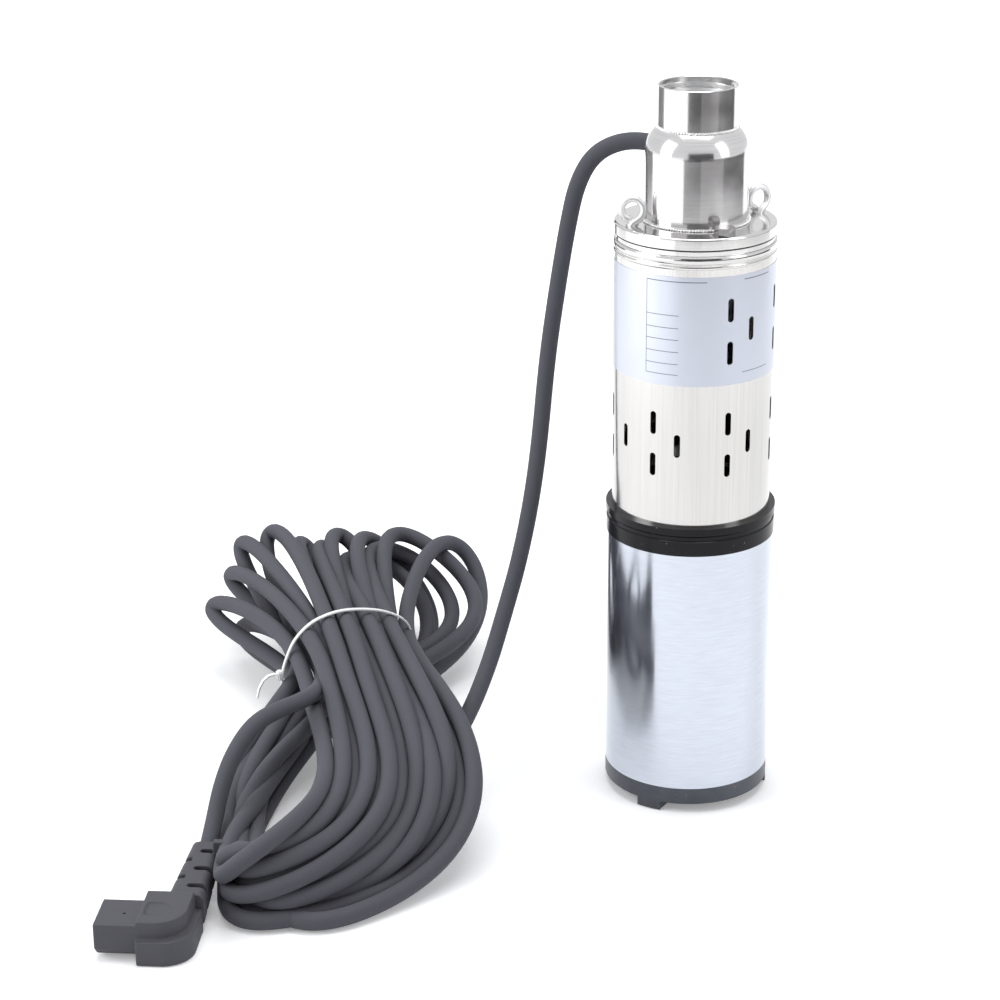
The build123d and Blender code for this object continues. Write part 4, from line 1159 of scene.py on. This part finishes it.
class PUMP_OT_outlet_details(bpy.types.Operator):
    """Cut the outlet's thread ridges and lay the weld beads of the head"""

    bl_idname = "pump.outlet_details"
    bl_label = "Outlet Details"

    def execute(self, context):
        metal = context.scene.pump_metal
        socket_low, socket_high = part_box("outlet_socket")
        head_low, head_high = part_box("outlet_head")
        head_radius = (head_high.x - head_low.x) / 2
        bright = finish_named("fastener_steel")
        brushed = finish_named("brushed_head")
        turns = int((socket_high.z - socket_low.z) / metal.thread_pitch) - 1
        run_tree("outlet_thread_ridge", thread_tree(bright), {
            "Radius": 0.01640,
            "Pitch": metal.thread_pitch,
            "Turns": float(turns),
            "Ridge": 0.0011,
            "Start": socket_high.z - 0.0017 - turns * metal.thread_pitch,
        }, bright, 25.0)
        tube_high = part_box("filter_tube")[1]
        rim = tube_high.x
        ring = bmesh.new()
        outline = [(rim - 0.0008, tube_high.z - 0.0056)]
        for middle, half in ((-0.0046, 0.0010), (-0.0015, 0.0018)):
            for step in range(9):
                angle = math.pi * (step / 8 - 0.5)
                outline.append((rim - 0.0002 + 0.00062 * math.cos(angle), tube_high.z + middle + half * math.sin(angle)))
        outline.append((rim - 0.0008, tube_high.z + 0.0003))
        add_ring(ring, outline, 144)
        finish_piece("tube_bead", ring, finish_named("flange_steel"), smooth_angle=50.0)
        run_tree("socket_weld", weld_tree(brushed), {
            "Radius": (socket_high.x - socket_low.x) / 2 + 0.0001,
            "Height": socket_low.z + 0.0001,
            "Drops": 84,
            "Drop Size": 0.0008,
            "Seed": 3,
        }, brushed)
        run_tree("head_weld", weld_tree(brushed), {
            "Radius": head_radius - 0.0005,
            "Height": head_low.z + 0.0004,
            "Drops": 120,
            "Drop Size": 0.0006,
            "Seed": 11,
        }, brushed)
        return {"FINISHED"}


class PUMP_OT_finishes(bpy.types.Operator):
    """Make the procedural finishes and give each part the one of its material slot"""

    bl_idname = "pump.finishes"
    bl_label = "Finishes"

    def execute(self, context):
        finishes = make_finishes(context.scene.pump_metal, context.scene.pump_cord)
        for part in frame["record"]["subparts"]:
            node = frame["nodes"].get(part["node"])
            if node is None:
                raise RuntimeError("no such part: " + part["node"])
            material = finishes[OWN_FINISHES.get(part["node"], part["material_slot"])]
            if not node.material_slots:
                node.data.materials.append(material)
            for slot in node.material_slots:
                slot.material = material
        return {"FINISHED"}


# ---- Stage ----


def model_direction(right, away, up):
    """A direction of the camera's level frame as one of the model's frame."""
    return Vector((0.90996 * right + 0.41469 * away, -0.41469 * right + 0.90996 * away, up))


def place_camera(context, lens):
    """A camera at the height, distance and angle of the picture."""
    yaw, pitch, roll = -0.0795, 0.3651, -0.0087
    forward = model_direction(math.sin(yaw) * math.cos(pitch), math.cos(yaw) * math.cos(pitch), -math.sin(pitch))
    level = model_direction(math.cos(yaw), -math.sin(yaw), 0)
    upward = level.cross(forward)
    right = level * math.cos(roll) + upward * math.sin(roll)
    up = upward * math.cos(roll) - level * math.sin(roll)
    camera = bpy.data.objects.new("Camera", bpy.data.cameras.new("Camera"))
    context.scene.collection.objects.link(camera)
    camera.data.sensor_width = 36.0
    camera.data.lens = lens
    camera.data.clip_start = 0.05
    place = Matrix((right, up, -forward)).transposed().to_4x4()
    place.translation = model_direction(0, -1.0971, 0.5593)
    camera.matrix_world = place
    context.scene.camera = camera


def add_light(context, name, place, target, size, power, color=(1, 1, 1), shadow=True):
    """A rectangular soft light that faces a point."""
    light = bpy.data.lights.new(name, "AREA")
    light.shape = "RECTANGLE"
    light.size, light.size_y = size
    light.energy = power
    light.color = color
    light.use_shadow = shadow
    holder = bpy.data.objects.new(name, light)
    context.scene.collection.objects.link(holder)
    holder.location = place
    holder.rotation_euler = (Vector(target) - Vector(place)).to_track_quat("-Z", "Y").to_euler()
    return holder


def flat_panel(name, corners, material):
    """A flat stage panel."""
    data = bpy.data.meshes.new(name)
    data.from_pydata([tuple(corner) for corner in corners], [], [(0, 1, 2, 3)])
    panel = bpy.data.objects.new(name, data)
    bpy.context.scene.collection.objects.link(panel)
    data.materials.append(material)
    return panel


def add_flag(name, right, away, low, high, width, shade):
    """A dark upright panel beside the camera that only polished metal shows."""
    material, tree, shader = new_material(name, (shade, shade, shade * 1.08), 1.0)
    centre = model_direction(right, away, 0)
    toward = Vector((-centre.x, -centre.y, 0)).normalized()
    side = Vector((-toward.y, toward.x, 0)) * width / 2
    corners = [
        centre - side + Vector((0, 0, low)), centre + side + Vector((0, 0, low)),
        centre + side + Vector((0, 0, high)), centre - side + Vector((0, 0, high)),
    ]
    panel = flat_panel(name, corners, material)
    only_in_reflections(panel)
    return panel


def add_card(name, start, end, near, far, shade):
    """A dark card on the floor beyond the picture that only polished metal shows.

    The angles turn to the right from the camera's side of the pump.
    """
    material = new_material(name, (shade, shade * 0.97, shade * 0.98), 1.0)[0]
    steps = 12
    corners = []
    for distance in (near, far):
        for step in range(steps + 1):
            angle = math.radians(start + (end - start) * step / steps)
            place = model_direction(math.sin(angle) * distance, -math.cos(angle) * distance, 0.001)
            corners.append(tuple(place))
    row = steps + 1
    data = bpy.data.meshes.new(name)
    data.from_pydata(corners, [], [(step, step + 1, row + step + 1, row + step) for step in range(steps)])
    card = bpy.data.objects.new(name, data)
    bpy.context.scene.collection.objects.link(card)
    data.materials.append(material)
    only_in_reflections(card)
    return card


def only_in_reflections(panel):
    """Hides a stage panel from everything but polished metal."""
    panel.visible_camera = False
    panel.visible_diffuse = False
    panel.visible_shadow = False
    panel.visible_transmission = False


class PUMP_OT_stage(bpy.types.Operator):
    """Lay the pale floor with its painted glow that grows away from the pump, hang the soft lights and set up the
    camera
    """

    bl_idname = "pump.stage"
    bl_label = "Stage"

    def execute(self, context):
        scene = context.scene
        settings = scene.pump_stage
        scene.view_settings.view_transform = "Standard"
        material, tree, shader = new_material("floor", settings.floor_color, 0.9)
        shader.inputs["Specular IOR Level"].default_value = 0.1
        shader.inputs["Emission Color"].default_value = (1, 1, 1, 1)
        # Painted light: the floor glows for camera and glossy rays, at about a quarter strength within 0.55 m of the
        # pump and rising to full strength at 1.5 m, so the floor is brightened away from the pump.
        path = add(tree, "ShaderNodeLightPath").outputs
        seen = maths(tree, "MAXIMUM", path["Is Camera Ray"], path["Is Glossy Ray"])
        reach = add(tree, "ShaderNodeVectorMath", {0: coordinates(tree)}, operation="LENGTH").outputs["Value"]
        painted_floor_glow = spread(tree, reach, 0.24, 1.0, 0.55, 1.5)
        link(tree, maths(tree, "MULTIPLY", seen, painted_floor_glow), shader, "Emission Strength")
        half = settings.floor_size / 2
        flat_panel("floor", [(-half, -half, -0.0004), (half, -half, -0.0004), (half, half, -0.0004),
                             (-half, half, -0.0004)], material)
        world = bpy.data.worlds.new("World")
        scene.world = world
        world.use_nodes = True
        sky = world.node_tree
        sky.nodes.clear()
        path = add(sky, "ShaderNodeLightPath").outputs
        seen = maths(sky, "MAXIMUM", path["Is Camera Ray"], path["Is Glossy Ray"])
        seen = maths(sky, "MAXIMUM", seen, path["Is Transmission Ray"])
        strength = maths(sky, "ADD", maths(sky, "MULTIPLY", seen, 0.58), 0.42)
        background = add(sky, "ShaderNodeBackground", {"Color": (0.97, 0.98, 1, 1), "Strength": strength})
        add(sky, "ShaderNodeOutputWorld", {"Surface": background.outputs[0]})
        aim = (-0.05, 0.0, 0.12)
        add_light(context, "overhead", (0.1, 0.25, 1.9), aim, (1.4, 1.4), 24.0)
        add_light(context, "left_window", model_direction(-1.5, -0.5, 0.8), aim, (0.8, 1.4), 17.0)
        add_light(context, "right_window", model_direction(1.4, -0.7, 0.9), aim, (0.6, 1.4), 6.0)
        add_flag("room_front", 0.5, -3.2, 0.0, 1.3, 3.4, 0.16)
        add_card("floor_end_front", -28.0, 9.0, 1.06, 3.2, 0.02)
        add_card("floor_end_side", 9.0, 60.0, 1.06, 3.2, 0.26)
        add_card("floor_end_right", 60.0, 124.0, 1.06, 3.2, 0.06)
        add_card("floor_end_left", -150.0, -112.0, 1.06, 3.2, 0.3)
        place_camera(context, settings.lens)
        return {"FINISHED"}


class PUMP_PT_panel(bpy.types.Panel):
    """Lists the steps that build the pump's looks"""

    bl_label = "Submersible Pump"
    bl_idname = "PUMP_PT_panel"
    bl_space_type = "VIEW_3D"
    bl_region_type = "UI"
    bl_category = "Pump"

    def draw(self, context):
        layout = self.layout
        for step in STEPS:
            layout.operator(step.bl_idname)
        for group in ("pump_cord", "pump_metal", "pump_stage"):
            box = layout.box()
            settings = getattr(context.scene, group)
            for name in settings.__annotations__:
                box.prop(settings, name)


STEPS = (
    PUMP_OT_stage,
    PUMP_OT_finishes,
    PUMP_OT_supply_cord,
    PUMP_OT_plug,
    PUMP_OT_tie,
    PUMP_OT_lifting_eyes,
    PUMP_OT_outlet_details,
)
CLASSES = (CordSettings, MetalSettings, StageSettings, *STEPS, PUMP_PT_panel)


def register():
    """Registers the classes and the settings."""
    for made in CLASSES:
        bpy.utils.register_class(made)
    bpy.types.Scene.pump_cord = bpy.props.PointerProperty(type=CordSettings)
    bpy.types.Scene.pump_metal = bpy.props.PointerProperty(type=MetalSettings)
    bpy.types.Scene.pump_stage = bpy.props.PointerProperty(type=StageSettings)


def unregister():
    """Removes the settings and the classes."""
    for name in ("pump_cord", "pump_metal", "pump_stage"):
        delattr(bpy.types.Scene, name)
    for made in reversed(CLASSES):
        bpy.utils.unregister_class(made)


def plain(box):
    """A box as plain lists of numbers."""
    return [[float(value) for value in corner] for corner in box]


def main():
    """Builds all pieces in order."""
    register()
    bpy.ops.pump.stage()
    bpy.ops.pump.finishes()
    bpy.ops.pump.supply_cord()
    bpy.ops.pump.plug()
    bpy.ops.pump.tie()
    bpy.ops.pump.lifting_eyes()
    bpy.ops.pump.outlet_details()


if __name__ == "__main__":
    main()
